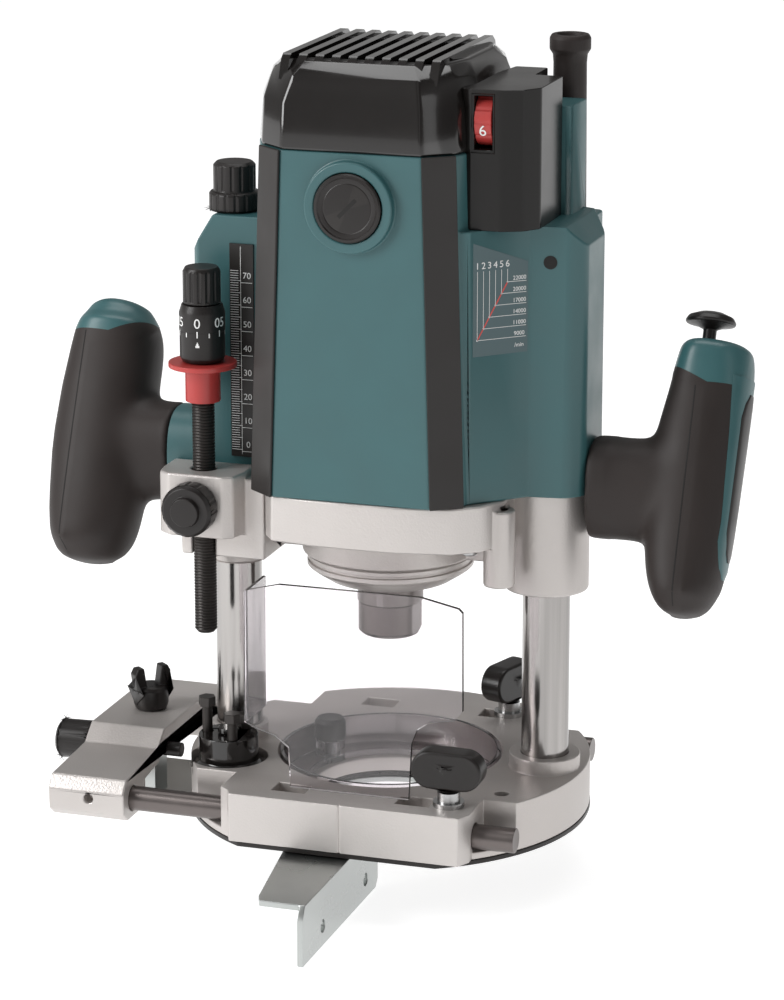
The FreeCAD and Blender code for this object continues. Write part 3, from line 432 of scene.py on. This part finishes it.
def neck_ring(side, x, half_wide, half_tall, count=48):
    """Points round the neck that joins a grip to the head, at a distance from the middle."""
    ring = []
    for i in range(count):
        angle = 2 * math.pi * i / count
        radius = section_reach(angle, half_wide, half_tall, NECK_POWER)
        ring.append((SIGN[side] * x, radius * math.cos(angle), NECK_Z + radius * math.sin(angle)))
    return ring


def smoothed(bm, verts, passes):
    """Draws vertices towards their neighbours, a number of times."""
    for _ in range(passes):
        bmesh.ops.smooth_vert(bm, verts=verts, factor=0.5, use_axis_x=True, use_axis_y=True,
                              use_axis_z=True)


def near_joint(vert):
    """Where the neck runs into the grip."""
    x, z = abs(vert.co.x) / MM, vert.co.z / MM
    return JOINT_INNER < x < JOINT_OUTER and abs(z - NECK_Z) < JOINT_HALF_HEIGHT


GRIP_VOXEL, SKIN_PASSES, JOINT_PASSES = 0.9, 9, 70
JOINT_INNER, JOINT_OUTER, JOINT_HALF_HEIGHT = GRIP_X - 32, GRIP_X + 4, 46
GRIP_HEIGHTS = [-54, -53.4, -52.6, -51.4, -50, -46, -42, -34, -26, -18, -10, 0, 10, 18, 26, 34, 42,
                46, 50, 53, 54.4, 55.4, 56]
# where the neck starts and the front seam runs; the cap's edge is level outside and rises inside
GRIP_PARTS = {
    "left": dict(foot=91.2, seam_lean=20, seam_top=40, cap_level=39.5, rise=(-3, 39.0), slope=-31),
    "right": dict(foot=85.3, seam_lean=2, seam_top=36, cap_level=36.5, rise=(8, 35.5), slope=26),
}
SEAM_FOOT = -51
CAP_LEAN, CAP_BACK = math.radians(-3), 0.06


def make_grip(side):
    """One closed skin over grip and neck, cut into the rubber body and the coloured cap."""
    part = GRIP_PARTS[side]
    bm = skin(bmesh.new(), [grip_ring(side, height) for height in GRIP_HEIGHTS])
    foot = part["foot"]
    skin(bm, [neck_ring(side, foot, 16.2, 20.2), neck_ring(side, foot + 3, 16.4, 20.4),
              neck_ring(side, 112, 16.2, 20.6), neck_ring(side, 122, 14, 19)])
    bmesh.ops.recalc_face_normals(bm, faces=bm.faces)
    bm = remeshed(bm, GRIP_VOXEL, "grip_skin")
    smoothed(bm, bm.verts, SKIN_PASSES)
    smoothed(bm, [vert for vert in bm.verts if near_joint(vert)], JOINT_PASSES)
    grip_seam(side, BVHTree.FromBMesh(bm), part["seam_lean"], SEAM_FOOT, part["seam_top"])
    rise_x, rise_z = part["rise"]
    level_normal = Vector((SIGN[side] * math.sin(CAP_LEAN), CAP_BACK, 1)).normalized()
    rise_normal = Vector((math.sin(math.radians(part["slope"])), CAP_BACK, 1)).normalized()
    cuts = [
        (grip_point(side, 0, 0, part["cap_level"]), GRIP_FRAME @ level_normal),
        (grip_point(side, rise_x, 0, rise_z), GRIP_FRAME @ rise_normal),
    ]
    for point, normal in cuts:
        geometry = bm.verts[:] + bm.edges[:] + bm.faces[:]
        bmesh.ops.bisect_plane(bm, geom=geometry, dist=1e-6, plane_co=point * MM, plane_no=normal)
    cap_faces = []
    for face in bm.faces:
        centre = face.calc_center_median()
        if all((centre - point * MM).dot(normal) > 0 for point, normal in cuts):
            cap_faces.append(face)
    cap = bm.copy()
    keep = {face.index for face in cap_faces}
    cap.faces.ensure_lookup_table()
    bmesh.ops.delete(cap, geom=[f for f in cap.faces if f.index not in keep], context="FACES")
    bmesh.ops.delete(bm, geom=cap_faces, context="FACES")
    for half, name, mat, node, core in (
        (bm, "body", "rubber", f"grip_{side}", 40),
        (cap, "cap", "teal", f"grip_cap_{side}", 48),
    ):
        rim = [edge for edge in half.edges if edge.is_boundary]
        close_inward(half, rim, grip_point(side, 0, 0, core) * MM)
        mesh = mesh_from(half, f"grip_{side}_{name}")
        add(f"grip_{side}_{name}", mesh, BODY_OF[node], mat, stands_for=[node], sharp=50)


GROOVE_STEPS = (0.35, 1.2)


def close_inward(bm, rim, middle):
    """Turns a cut rim in towards the middle and closes it, so that two halves meet in a groove."""
    for step in GROOVE_STEPS:
        made = bmesh.ops.extrude_edge_only(bm, edges=rim)
        verts = [v for v in made["geom"] if isinstance(v, bmesh.types.BMVert)]
        for vert in verts:
            vert.co += (middle - vert.co).normalized() * step * MM
        rim = [e for e in made["geom"] if isinstance(e, bmesh.types.BMEdge) and e.is_boundary]
    bmesh.ops.holes_fill(bm, edges=rim, sides=0)


STRIP_STEPS = 16
# a strip's two edges drop by this much over this share of its half width
STRIP_DROP, STRIP_EDGE = 0.35, 0.15


def grip_strip(name, side, mat, node, heights, half, lift, thick, stands_for=()):
    """A plate bent over a grip's outer side; half gives its half width at each height."""
    rings = []
    spread = [i / (STRIP_STEPS / 2) - 1 for i in range(STRIP_STEPS + 1)]
    for height in heights:
        share = read_table(half, height) / grip_radius(side, height, math.radians(60))
        ring = []
        for outside in (True, False):
            for t in spread if outside else reversed(spread):
                angle = math.asin(max(-1, min(1, t * share)))
                past_edge = max(0.0, abs(t) - (1 - STRIP_EDGE))
                level = lift - STRIP_DROP * past_edge / STRIP_EDGE if outside else lift - thick
                radius = grip_radius(side, height, angle) + level
                across, back = radius * math.cos(angle), radius * math.sin(angle)
                ring.append(grip_point(side, across, back, height))
        rings.append(ring)
    mesh = mesh_from(skin(bmesh.new(), rings), name)
    return add(name, mesh, BODY_OF[node], mat, slot=SLOT_OF[node], stands_for=stands_for, sharp=40)


SEAM_STEPS, SEAM_START = 60, 60
# corners of the seam's section: (along the skin, out of the skin)
SEAM_SECTION = ((-0.24, 0.09), (0.24, 0.09), (0.24, -0.5), (-0.24, -0.5))


def grip_seam(side, tree, lean, low, high):
    """The parting line down a grip's front: a thin shadow laid on the skin."""
    rings = []
    angle = math.radians(lean - 90)
    for i in range(SEAM_STEPS + 1):
        height = low + (high - low) * i / SEAM_STEPS
        start = grip_point(side, 0, 0, height) * MM
        away = grip_point(side, math.cos(angle), math.sin(angle), height) * MM - start
        across = grip_point(side, -math.sin(angle), math.cos(angle), height) * MM - start
        ring = []
        for shift, lift in SEAM_SECTION:
            origin = start + across * shift + away * SEAM_START
            hit = tree.ray_cast(origin, -away.normalized())[0]
            ring.append((hit + away * lift) / MM)
        rings.append(ring)
    node = f"grip_{side}"
    mesh = mesh_from(skin(bmesh.new(), rings), f"grip_{side}_seam")
    add(f"grip_{side}_seam", mesh, BODY_OF[node], "painted_shade", slot=SLOT_OF[node])


for side in ("left", "right"):
    make_grip(side)
SPINE_HEIGHTS = [-38, -34, -30, -24, -16, -8, 0, 10, 20, 30, 38, 42]
SPINE_HALF = [(-38, 2.5), (-34, 7.5), (-26, 10.6), (-20, 9.9), (-12, 10.2), (0, 10.8), (20, 11.5),
              (42, 12.6)]
grip_strip("grip_right_spine", "right", "teal", "grip_cap_right", SPINE_HEIGHTS, SPINE_HALF,
           lift=0.35, thick=3.0)
BLADE_HEIGHTS = [-31, -30, -28, -20, -8, 4, 16, 26, 32, 35, 36]
BLADE_HALF = [(-31, 1.6), (-28, 4.4), (-20, 6.6), (30, 7.2), (36, 2.6)]
grip_strip("trigger_blade", "right", "black", "trigger", BLADE_HEIGHTS, BLADE_HALF,
           lift=0.75, thick=4.6, stands_for=["trigger"])
collar_rings = [neck_ring("left", x, 16.0, 20.0) for x in (79, 85, 91.0)]
add("grip_left_collar", mesh_from(skin(bmesh.new(), collar_rings), "grip_left_collar"),
    BODY_OF["grip_left"], "teal", slot=SLOT_OF["motor_housing"])

# ---------------------------------------------------------------- motor housing and its covers

HEAD = BODY_OF["motor_housing"]
COVER_JOINT, WING_INNER = 0.2495, 0.05


def wing_corner(edge):
    """The long outer corners of the right wing."""
    a, b = (v.co / MM for v in edge.verts)
    outer = a.x > 71 and b.x > 71
    return outer and min(a.z, b.z) > 140.5 and abs(a.z - b.z) > 40


def small_edge(edge):
    """Edges off the right wing, or with an end below the cover's joint."""
    low = min(v.co.z for v in edge.verts)
    return low < COVER_JOINT or max(v.co.x for v in edge.verts) < WING_INNER


housing = clean_copy("motor_housing")
bevelled(housing, 2.6, 20, 4, wing_corner)
bevelled(housing, 0.8, 30, 2, small_edge)
add("motor_housing_body", mesh_from(housing, "motor_housing_body"), HEAD, "teal",
    stands_for=["motor_housing"])

# a ridge's outline runs along Y and up Z, and its width along X
RIDGE = [(-41.5, 306), (-38.5, 313.4), (-36, 315.4), (33, 315.4), (36.5, 313), (38, 308)]
RIDGE_COUNT, RIDGE_START, RIDGE_PITCH, RIDGE_HALF = 10, -30.4, 6.76, 1.7
RIDGE_FRAME = Matrix(((0, 0, 1, 0), (1, 0, 0, 0), (0, 1, 0, 0), (0, 0, 0, 1)))
for i in range(RIDGE_COUNT):
    middle = RIDGE_START + RIDGE_PITCH * i
    bar = prism(RIDGE, middle - RIDGE_HALF, middle + RIDGE_HALF, RIDGE_FRAME)
    bevelled(bar, 0.7)
    add(f"cover_ridge_{i}", mesh_from(bar, f"cover_ridge_{i}"), HEAD, "gloss",
        slot=SLOT_OF["top_cover"])

DIAL_BOX = [
    (39.6, -33.5), (43, -35.6), (56, -35.6), (64, -32), (69, -25), (69, 5.6), (57.8, 5.6), (57.8, 24),
    (44.5, 24), (41, 0), (39.6, -28),
]
box = prism(DIAL_BOX, 250, 305)
bevelled(box, 2.6, 40, 3, lambda edge: min(v.co.z for v in edge.verts) > 304.5 * MM)
bevelled(box, 1.0, 20, 2, lambda edge: abs(edge.verts[0].co.z - edge.verts[1].co.z) > 0.03)
window = prism([(44.9, -45), (52.2, -45), (52.2, -14), (44.9, -14)], 281.5, 302.4)
window_step = prism([(43.9, -45), (53.2, -45), (53.2, -34.9), (43.9, -34.9)], 280.4, 303.2)
dial_housing = bevelled(carved(box, window, window_step), 0.25, 50, 1)
add("dial_housing_body", mesh_from(dial_housing, "dial_housing_body"), HEAD, "deep",
    stands_for=["dial_housing"])

# the wing screw's pocket is drawn as a near-black disc: painted shade in the recess
screw_face = (Matrix.Translation((71.8, -20.0, 236)) @ Matrix.Rotation(math.radians(7.6), 4, "Z")
              @ Matrix.Rotation(math.radians(90), 4, "X"))
pocket = lathe([(0.01, -3), (2.7, -3), (2.7, 0.12), (2.2, 0.16), (0.01, 0.1)], screw_face, 48)
add("wing_screw_pocket", mesh_from(pocket, "wing_screw_pocket"), HEAD, "painted_shade",
    slot=SLOT_OF["motor_housing"])

CAP_PROFILE = [
    (0.01, -6), (11, -6), (11, 0), (13.6, 0.2), (13.6, 3.1), (13.1, 3.7), (12.2, 3.8), (11.7, 3.3),
    (10.2, 3.2), (9.8, 3.0), (9.4, 3.2), (0.01, 3.2),
]
CAP_SLOT = [(-5, -0.8), (5, -0.8), (5, 0.8), (-5, 0.8)]
for sign, name in ((-1, "front"), (1, "back")):
    out = Matrix.Translation((0, sign * 51.5, 259.3)) @ Matrix.Rotation(math.radians(-90 * sign), 4, "X")
    add(f"brush_cap_{name}", mesh_from(lathe(CAP_PROFILE, out, 96), f"brush_cap_{name}"),
        BODY_OF["brush_caps"], "black", slot=SLOT_OF["brush_caps"],
        stands_for=["brush_caps"] if name == "front" else ())
    # the cap's slot is a near-black bar just proud of the cap: painted shade in the slot
    slot_shape = prism(CAP_SLOT, 2.4, 3.24, out @ Matrix.Rotation(math.radians(45), 4, "Z"))
    add(f"brush_slot_{name}", mesh_from(slot_shape, f"brush_slot_{name}"), BODY_OF["brush_caps"],
        "painted_shade", slot=SLOT_OF["brush_caps"])

# ---------------------------------------------------------------- spindle nose and stopper pole

PLATE_PROFILE = [
    (14.6, 109), (14.6, 97.2), (24.5, 97.2), (26.0, 97.8), (31.8, 101.6), (32.2, 102.6),
    (33.4, 102.8), (34, 103.4), (34, 105), (33.2, 105.3), (33.2, 106), (34, 106.4), (34, 107.8),
    (32.8, 109),
]
plate = lathe(PLATE_PROFILE, count=128)
add("bearing_plate_body", mesh_from(plate, "bearing_plate_body"), BODY_OF["bearing_plate"],
    "cast", stands_for=["bearing_plate"])
collar = lathe([(12.6, 97.6), (13.4, 97.2), (13.4, 87.7), (13.2, 87.5)], count=96)
add("spindle_collar", mesh_from(collar, "spindle_collar"), BODY_OF["armature_shaft"], "nut",
    slot=SLOT_OF["collet_nut"])
SPRING_FOOT, SPRING_HEAD, SPRING_RADIUS, WIRE, TURNS = 12.3, 240.0, 6.1, 0.75, 46
COLUMN_X, COIL_STEPS, WIRE_SIDES = 66.1, 16, 6
springs = bmesh.new()
for side in (-1, 1):
    rings = []
    for i in range(TURNS * COIL_STEPS + 1):
        angle = 2 * math.pi * i / COIL_STEPS
        rise = (SPRING_HEAD - SPRING_FOOT - 2 * WIRE) * i / (TURNS * COIL_STEPS)
        height = SPRING_FOOT + WIRE + rise
        ring = []
        for k in range(WIRE_SIDES):
            round_wire = 2 * math.pi * k / WIRE_SIDES
            reach = SPRING_RADIUS + WIRE * math.cos(round_wire)
            x = side * COLUMN_X + reach * math.cos(angle)
            ring.append((x, reach * math.sin(angle), height + WIRE * math.sin(round_wire)))
        rings.append(ring)
    skin(springs, rings)
spring_piece = add("plunge_springs_coil", mesh_from(springs, "plunge_springs_coil"),
                   BODY_OF["plunge_springs"], "steel", stands_for=["plunge_springs"], sharp=80)
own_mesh(spring_piece)

POLE_AT = (-70.2, -28.0)
thread = ridges(radius=4.62, depth=0.42, pitch=1.25, low=76, high=221)
pole = lathe([(0.01, 75), (3.4, 75)] + thread + [(3.4, 223), (0.01, 223)],
             Matrix.Translation((*POLE_AT, 0)), 40)
add("stopper_pole_thread", mesh_from(pole, "stopper_pole_thread"), BODY_OF["stopper_pole"], "oxide",
    stands_for=["stopper_pole"], sharp=60)

# ---------------------------------------------------------------- chip shield

SHIELD_FRONT, SHIELD_THICK = -57.5, 2.0
SHIELD = [
    (-43.2, 48), (-42.8, 103), (-28.2, 106.8), (30.7, 106.9), (46.5, 103.6), (48.1, 102),
    (48.3, 61.5), (45, 57.4), (34.7, 55.7), (29.5, 52), (27.2, 46), (26, 22.4), (-23.8, 22.4),
    (-24.6, 39), (-30.4, 43.4), (-38, 45.6),
]
stand_up = Matrix.Rotation(math.radians(90), 4, "X")
shield = prism(SHIELD, -SHIELD_FRONT - SHIELD_THICK, -SHIELD_FRONT, stand_up)
fold = prism([(-43.2, -55.5), (-41.8, -55.5), (-41.8, -34), (-43.2, -34)], 48, 102.8)
fold_mesh = bpy.data.meshes.new("fold")
fold.to_mesh(fold_mesh)
shield.from_mesh(fold_mesh)
bevelled(shield, 0.3, 40, 2)
add("chip_shield_pane", mesh_from(shield, "chip_shield_pane"), BODY_OF["chip_shield"], "clear",
    stands_for=["chip_shield"], sharp=30)

# ---------------------------------------------------------------- printed marks


# a capital's height as a share of the font size, and how far print stands off its surface
CAPITAL, TEXT_RAISE, BAR_RAISE = 0.72, 0.04, 0.03
BAR_STEPS = 6


def print_text(name, text, height, place, body, slot, wrap=None):
    """Raised print: text set in the plane of place, its x to the right and its y up."""
    curve = bpy.data.curves.new(name, "FONT")
    curve.body = text
    curve.size = height * MM / CAPITAL
    curve.align_x = "CENTER"
    curve.align_y = "CENTER"
    curve.extrude = TEXT_RAISE * MM
    curve.resolution_u = 4
    thing = bpy.data.objects.new(name, curve)
    bpy.context.scene.collection.objects.link(thing)
    mesh = bpy.data.meshes.new_from_object(thing)
    bpy.data.objects.remove(thing)
    if wrap:
        around_drum(mesh, wrap)
    mesh.transform(place)
    add(name, mesh, body, "print", slot=slot)


def around_drum(mesh, radius):
    """Bends a flat print round an upright drum whose axis is radius behind it."""
    for vert in mesh.vertices:
        angle = vert.co.x / (radius * MM)
        reach = radius * MM + vert.co.z
        vert.co = (reach * math.sin(angle), vert.co.y, reach * math.cos(angle) - radius * MM)


def print_bars(name, bars, place, body, slot, mat="print", wrap=None):
    """Printed strokes, each from one (x, y) to another with a width."""
    bm = bmesh.new()
    lifted = Vector((0, 0, BAR_RAISE * MM))
    for x0, y0, x1, y1, width in bars:
        along = Vector((x1 - x0, y1 - y0, 0)).normalized()
        side = Vector((-along.y, along.x, 0)) * width / 2
        start, end = Vector((x0, y0, 0)), Vector((x1, y1, 0))
        line = [start.lerp(end, i / BAR_STEPS) for i in range(BAR_STEPS + 1)]
        rows = []
        for sign in (-1, 1):
            rows.append([bm.verts.new((at + sign * side) * MM + lifted) for at in line])
        for i in range(BAR_STEPS):
            bm.faces.new((rows[0][i], rows[0][i + 1], rows[1][i + 1], rows[1][i]))
    mesh = bpy.data.meshes.new(name)
    bm.to_mesh(mesh)
    bm.free()
    if wrap:
        around_drum(mesh, wrap)
    mesh.transform(place)
    add(name, mesh, body, mat, slot=slot)


def facing(x, y, z, turn=0.0, tip=0.0):
    """A print plane whose middle is at a point, facing the front before it is turned and tipped."""
    return (Matrix.Translation(Vector((x, y, z)) * MM) @ Matrix.Rotation(math.radians(turn), 4, "Z")
            @ Matrix.Rotation(math.radians(90 - tip), 4, "X"))


# the depth scale on the left wing: millimetre ticks, and a long mark under each figure
SCALE_SLOT = SLOT_OF["scale_plate"]
SCALE_FACE, SCALE_FOOT, MARK_FOOT, SCALE_MARKS, SCALE_FIGURES = -13.93, 149, 148.2, 75, 8
ticks = []
for i in range(SCALE_MARKS):
    length = 3.4 if i % 5 else 4.6
    ticks.append((-4.7, SCALE_FOOT + i, -4.7 + length, SCALE_FOOT + i, 0.22))
for i in range(SCALE_FIGURES):
    ticks.append((-0.2, MARK_FOOT + 10 * i, 4.6, MARK_FOOT + 10 * i, 0.25))
ticks.append((-0.35, 147, -0.35, 233, 0.2))
print_bars("scale_ticks", ticks, facing(-58.5, SCALE_FACE, 0), HEAD, SCALE_SLOT)
for i in range(SCALE_FIGURES):
    place = facing(-56.2, SCALE_FACE, 151 + 10 * i)
    print_text(f"scale_number_{i}", str(i * 10), 2.6, place, HEAD, SCALE_SLOT)

# the speed chart on the right front of the housing
LABEL_TURN, FILM_LIFT, INK_LIFT = 45, 0.12, 0.03
LABEL_OUTLINE = [(-11.9, 200.5), (12.3, 200.5), (12.3, 236.5), (-11.9, 245.5)]
WING_SLOT = SLOT_OF["motor_housing"]
label_place = facing(54.5, -30.5, 0, LABEL_TURN) @ Matrix.Translation((0, 0, FILM_LIFT * MM))
label_mesh = mesh_from(prism(LABEL_OUTLINE, -0.2, 0.0), "speed_label")
label_mesh.transform(label_place)
add("speed_label", label_mesh, HEAD, "label", slot=WING_SLOT)
label_ink = label_place @ Matrix.Translation((0, 0, INK_LIFT * MM))


def on_label(x, z):
    """The speed chart's print plane moved to a point."""
    return label_ink @ Matrix.Translation(Vector((x, z, 0)) * MM)


SPEEDS = ("9000", "11000", "14000", "17000", "20000", "22000")
SPEED_X, FIGURE_HEIGHT = 8.6, 1.7
columns = [-10.0 + 2.65 * i for i in range(len(SPEEDS))]
rows = [207.0 + 4.42 * i for i in range(len(SPEEDS))]
chart = [(x, 234.2, x, z, 0.2) for x, z in zip(columns, rows)]
chart += [(x, z, 11.6, z - 0.2, 0.2) for x, z in zip(columns, rows)]
chart += [(x - 0.35, z, x + 0.35, z, 0.7) for x, z in zip(columns, rows)]
print_bars("label_lines", chart, label_ink, HEAD, WING_SLOT)
print_bars("label_slope", [(columns[0], rows[0], columns[-1], rows[-1], 0.55)], label_ink, HEAD,
           WING_SLOT, "red_print")
for i, x in enumerate(columns):
    print_text(f"label_step_{i + 1}", str(i + 1), 2.7, on_label(x, 236.3), HEAD, WING_SLOT)
for i, text in enumerate(SPEEDS):
    place = on_label(SPEED_X, rows[i] + 1.2)
    print_text(f"label_speed_{i + 1}", text, FIGURE_HEIGHT, place, HEAD, WING_SLOT)
print_text("label_unit", "/min", FIGURE_HEIGHT, on_label(SPEED_X, 203.6), HEAD, WING_SLOT)
print_text("wheel_number", "6", 4.6, facing(48.5, -35.32, 288.8, 0, -18), BODY_OF["speed_dial"],
           SLOT_OF["speed_dial"])

# the depth dial's figures and marks, wrapped round its drum
DIAL_RADIUS, MARK_RADIUS = 9.28, 9.13
DIAL_BODY, DIAL_SLOT = BODY_OF["depth_dial"], SLOT_OF["depth_dial"]
DIAL_FIGURES = (("0", 8), ("05", 70), ("1", 130), ("15", 190), ("2", 250), ("25", 310))
DIAL_ZERO, DIAL_MARKS = 8, 12


def on_dial(degrees, radius, height):
    """A print plane on the depth dial's drum, at an angle from the front."""
    middle = Matrix.Translation(Vector((*POLE_AT, 0)) * MM)
    return middle @ Matrix.Rotation(math.radians(degrees), 4, "Z") @ facing(0, -radius, height)


for text, degrees in DIAL_FIGURES:
    print_text(f"dial_{text}", text, 4.0, on_dial(degrees, DIAL_RADIUS, 205.2), DIAL_BODY, DIAL_SLOT,
               wrap=DIAL_RADIUS)
for i in range(DIAL_MARKS):
    tick = [(0, 0, 0, 2.6 if i % 2 == 0 else 1.8, 0.5)]
    place = on_dial(DIAL_ZERO + 360 / DIAL_MARKS * i, DIAL_RADIUS, 199.6)
    print_bars(f"dial_tick_{i}", tick, place, DIAL_BODY, DIAL_SLOT, wrap=DIAL_RADIUS)
arrow = [(0, 0, 0, 0.9, 1.6), (0, 0.9, 0, 1.6, 0.9), (0, 1.6, 0, 2.2, 0.4)]
print_bars("dial_mark", arrow, on_dial(DIAL_ZERO, MARK_RADIUS, 195.6), DIAL_BODY, DIAL_SLOT,
           wrap=MARK_RADIUS)

# CAD nodes shown as they are
for node, thing in frame["nodes"].items():
    if not thing.hide_render:
        thing.data.materials.clear()
        thing.data.materials.append(MATERIALS[MATERIAL_OF_SLOT[SLOT_OF[node]]])

# ---------------------------------------------------------------- floor, light and camera


FLOOR_HALF, FLOOR_GAP = 30.0, 0.0005
PAPER_GREY, PAPER_GLOW, PAPER_ROUGH = 0.50, 0.86, 0.9
corners = [(x * FLOOR_HALF, y * FLOOR_HALF, 0) for x, y in ((-1, -1), (1, -1), (1, 1), (-1, 1))]
floor_mesh = bpy.data.meshes.new("floor")
floor_mesh.from_pydata(corners, [], [(0, 1, 2, 3)])
floor = bpy.data.objects.new("floor", floor_mesh)
floor.location = (0, 0, cad_low.z - FLOOR_GAP)
paper = bpy.data.materials.new("floor_paper")
paper.use_nodes = True
sheet = paper.node_tree.nodes["Principled BSDF"].inputs
sheet["Base Color"].default_value = (PAPER_GREY, PAPER_GREY, PAPER_GREY, 1)
sheet["Roughness"].default_value = PAPER_ROUGH
sheet["Emission Color"].default_value = (1, 1, 1, 1)
sheet["Emission Strength"].default_value = PAPER_GLOW
floor_mesh.materials.append(paper)
bpy.context.scene.collection.objects.link(floor)

world = bpy.data.worlds.new("studio")
world.use_nodes = True
bpy.context.scene.world = world
bpy.context.scene.view_settings.view_transform = "Standard"


# the room's brightness from left (0) to right (1)
PANELS = [(0.0, 0.22), (0.16, 0.50), (0.25, 0.05), (0.36, 0.34), (0.50, 0.14), (0.62, 0.42),
          (0.74, 0.04), (0.86, 0.26), (1.0, 0.10)]
PANEL_TINT = (1, 0.99, 0.98)


def studio_room(nodes, links):
    """White behind the object; all round it, pale panels with darker gaps for the metal to mirror."""
    place = nodes.new("ShaderNodeTexCoord")
    apart = nodes.new("ShaderNodeSeparateXYZ")
    links.new(place.outputs["Generated"], apart.inputs["Vector"])
    ramp = nodes.new("ShaderNodeValToRGB")
    span = nodes.new("ShaderNodeMapRange")
    span.inputs["From Min"].default_value = -1
    span.inputs["From Max"].default_value = 1
    links.new(apart.outputs["X"], span.inputs["Value"])
    links.new(span.outputs["Result"], ramp.inputs["Fac"])
    while len(ramp.color_ramp.elements) < len(PANELS):
        ramp.color_ramp.elements.new(0.5)
    for element, (at, value) in zip(ramp.color_ramp.elements, PANELS):
        element.position = at
        element.color = [value * tint for tint in PANEL_TINT] + [1]
    path = nodes.new("ShaderNodeLightPath")
    mix = nodes.new("ShaderNodeMix")
    mix.data_type = "RGBA"
    links.new(path.outputs["Is Camera Ray"], mix.inputs["Factor"])
    links.new(ramp.outputs["Color"], mix.inputs["A"])
    mix.inputs["B"].default_value = (1, 1, 1, 1)
    links.new(mix.outputs["Result"], nodes["Background"].inputs["Color"])


studio_room(world.node_tree.nodes, world.node_tree.links)


def softbox(name, at, towards, width, height, watts):
    """A rectangular lamp at a point, turned towards another."""
    light = bpy.data.lights.new(name, "AREA")
    light.shape = "RECTANGLE"
    light.size = width
    light.size_y = height
    light.energy = watts
    lamp = bpy.data.objects.new(name, light)
    lamp.location = at
    lamp.rotation_euler = (Vector(towards) - Vector(at)).to_track_quat("-Z", "Y").to_euler()
    bpy.context.scene.collection.objects.link(lamp)


softbox("key_left", (-1.25, -1.05, 0.95), (0, 0, 0.15), 0.8, 1.3, 24)
softbox("fill_right", (1.5, -0.7, 0.7), (0, 0, 0.15), 0.4, 1.4, 1.6)
softbox("top", (0.0, 0.2, 1.7), (0, 0, 0.1), 1.4, 0.9, 11)

CAMERA_DOWN, CAMERA_TURN = math.radians(15.35), math.radians(18.01)
camera_data = bpy.data.cameras.new("camera")
camera_data.lens = 136.8
camera_data.sensor_width = 36.0
camera_data.clip_start = 0.05
camera_data.clip_end = 60.0
camera = bpy.data.objects.new("camera", camera_data)
camera.location = (0.4610, -1.4163, 0.5379)
camera.rotation_euler = (math.radians(90) - CAMERA_DOWN, 0, CAMERA_TURN)
bpy.context.scene.collection.objects.link(camera)
bpy.context.scene.camera = camera
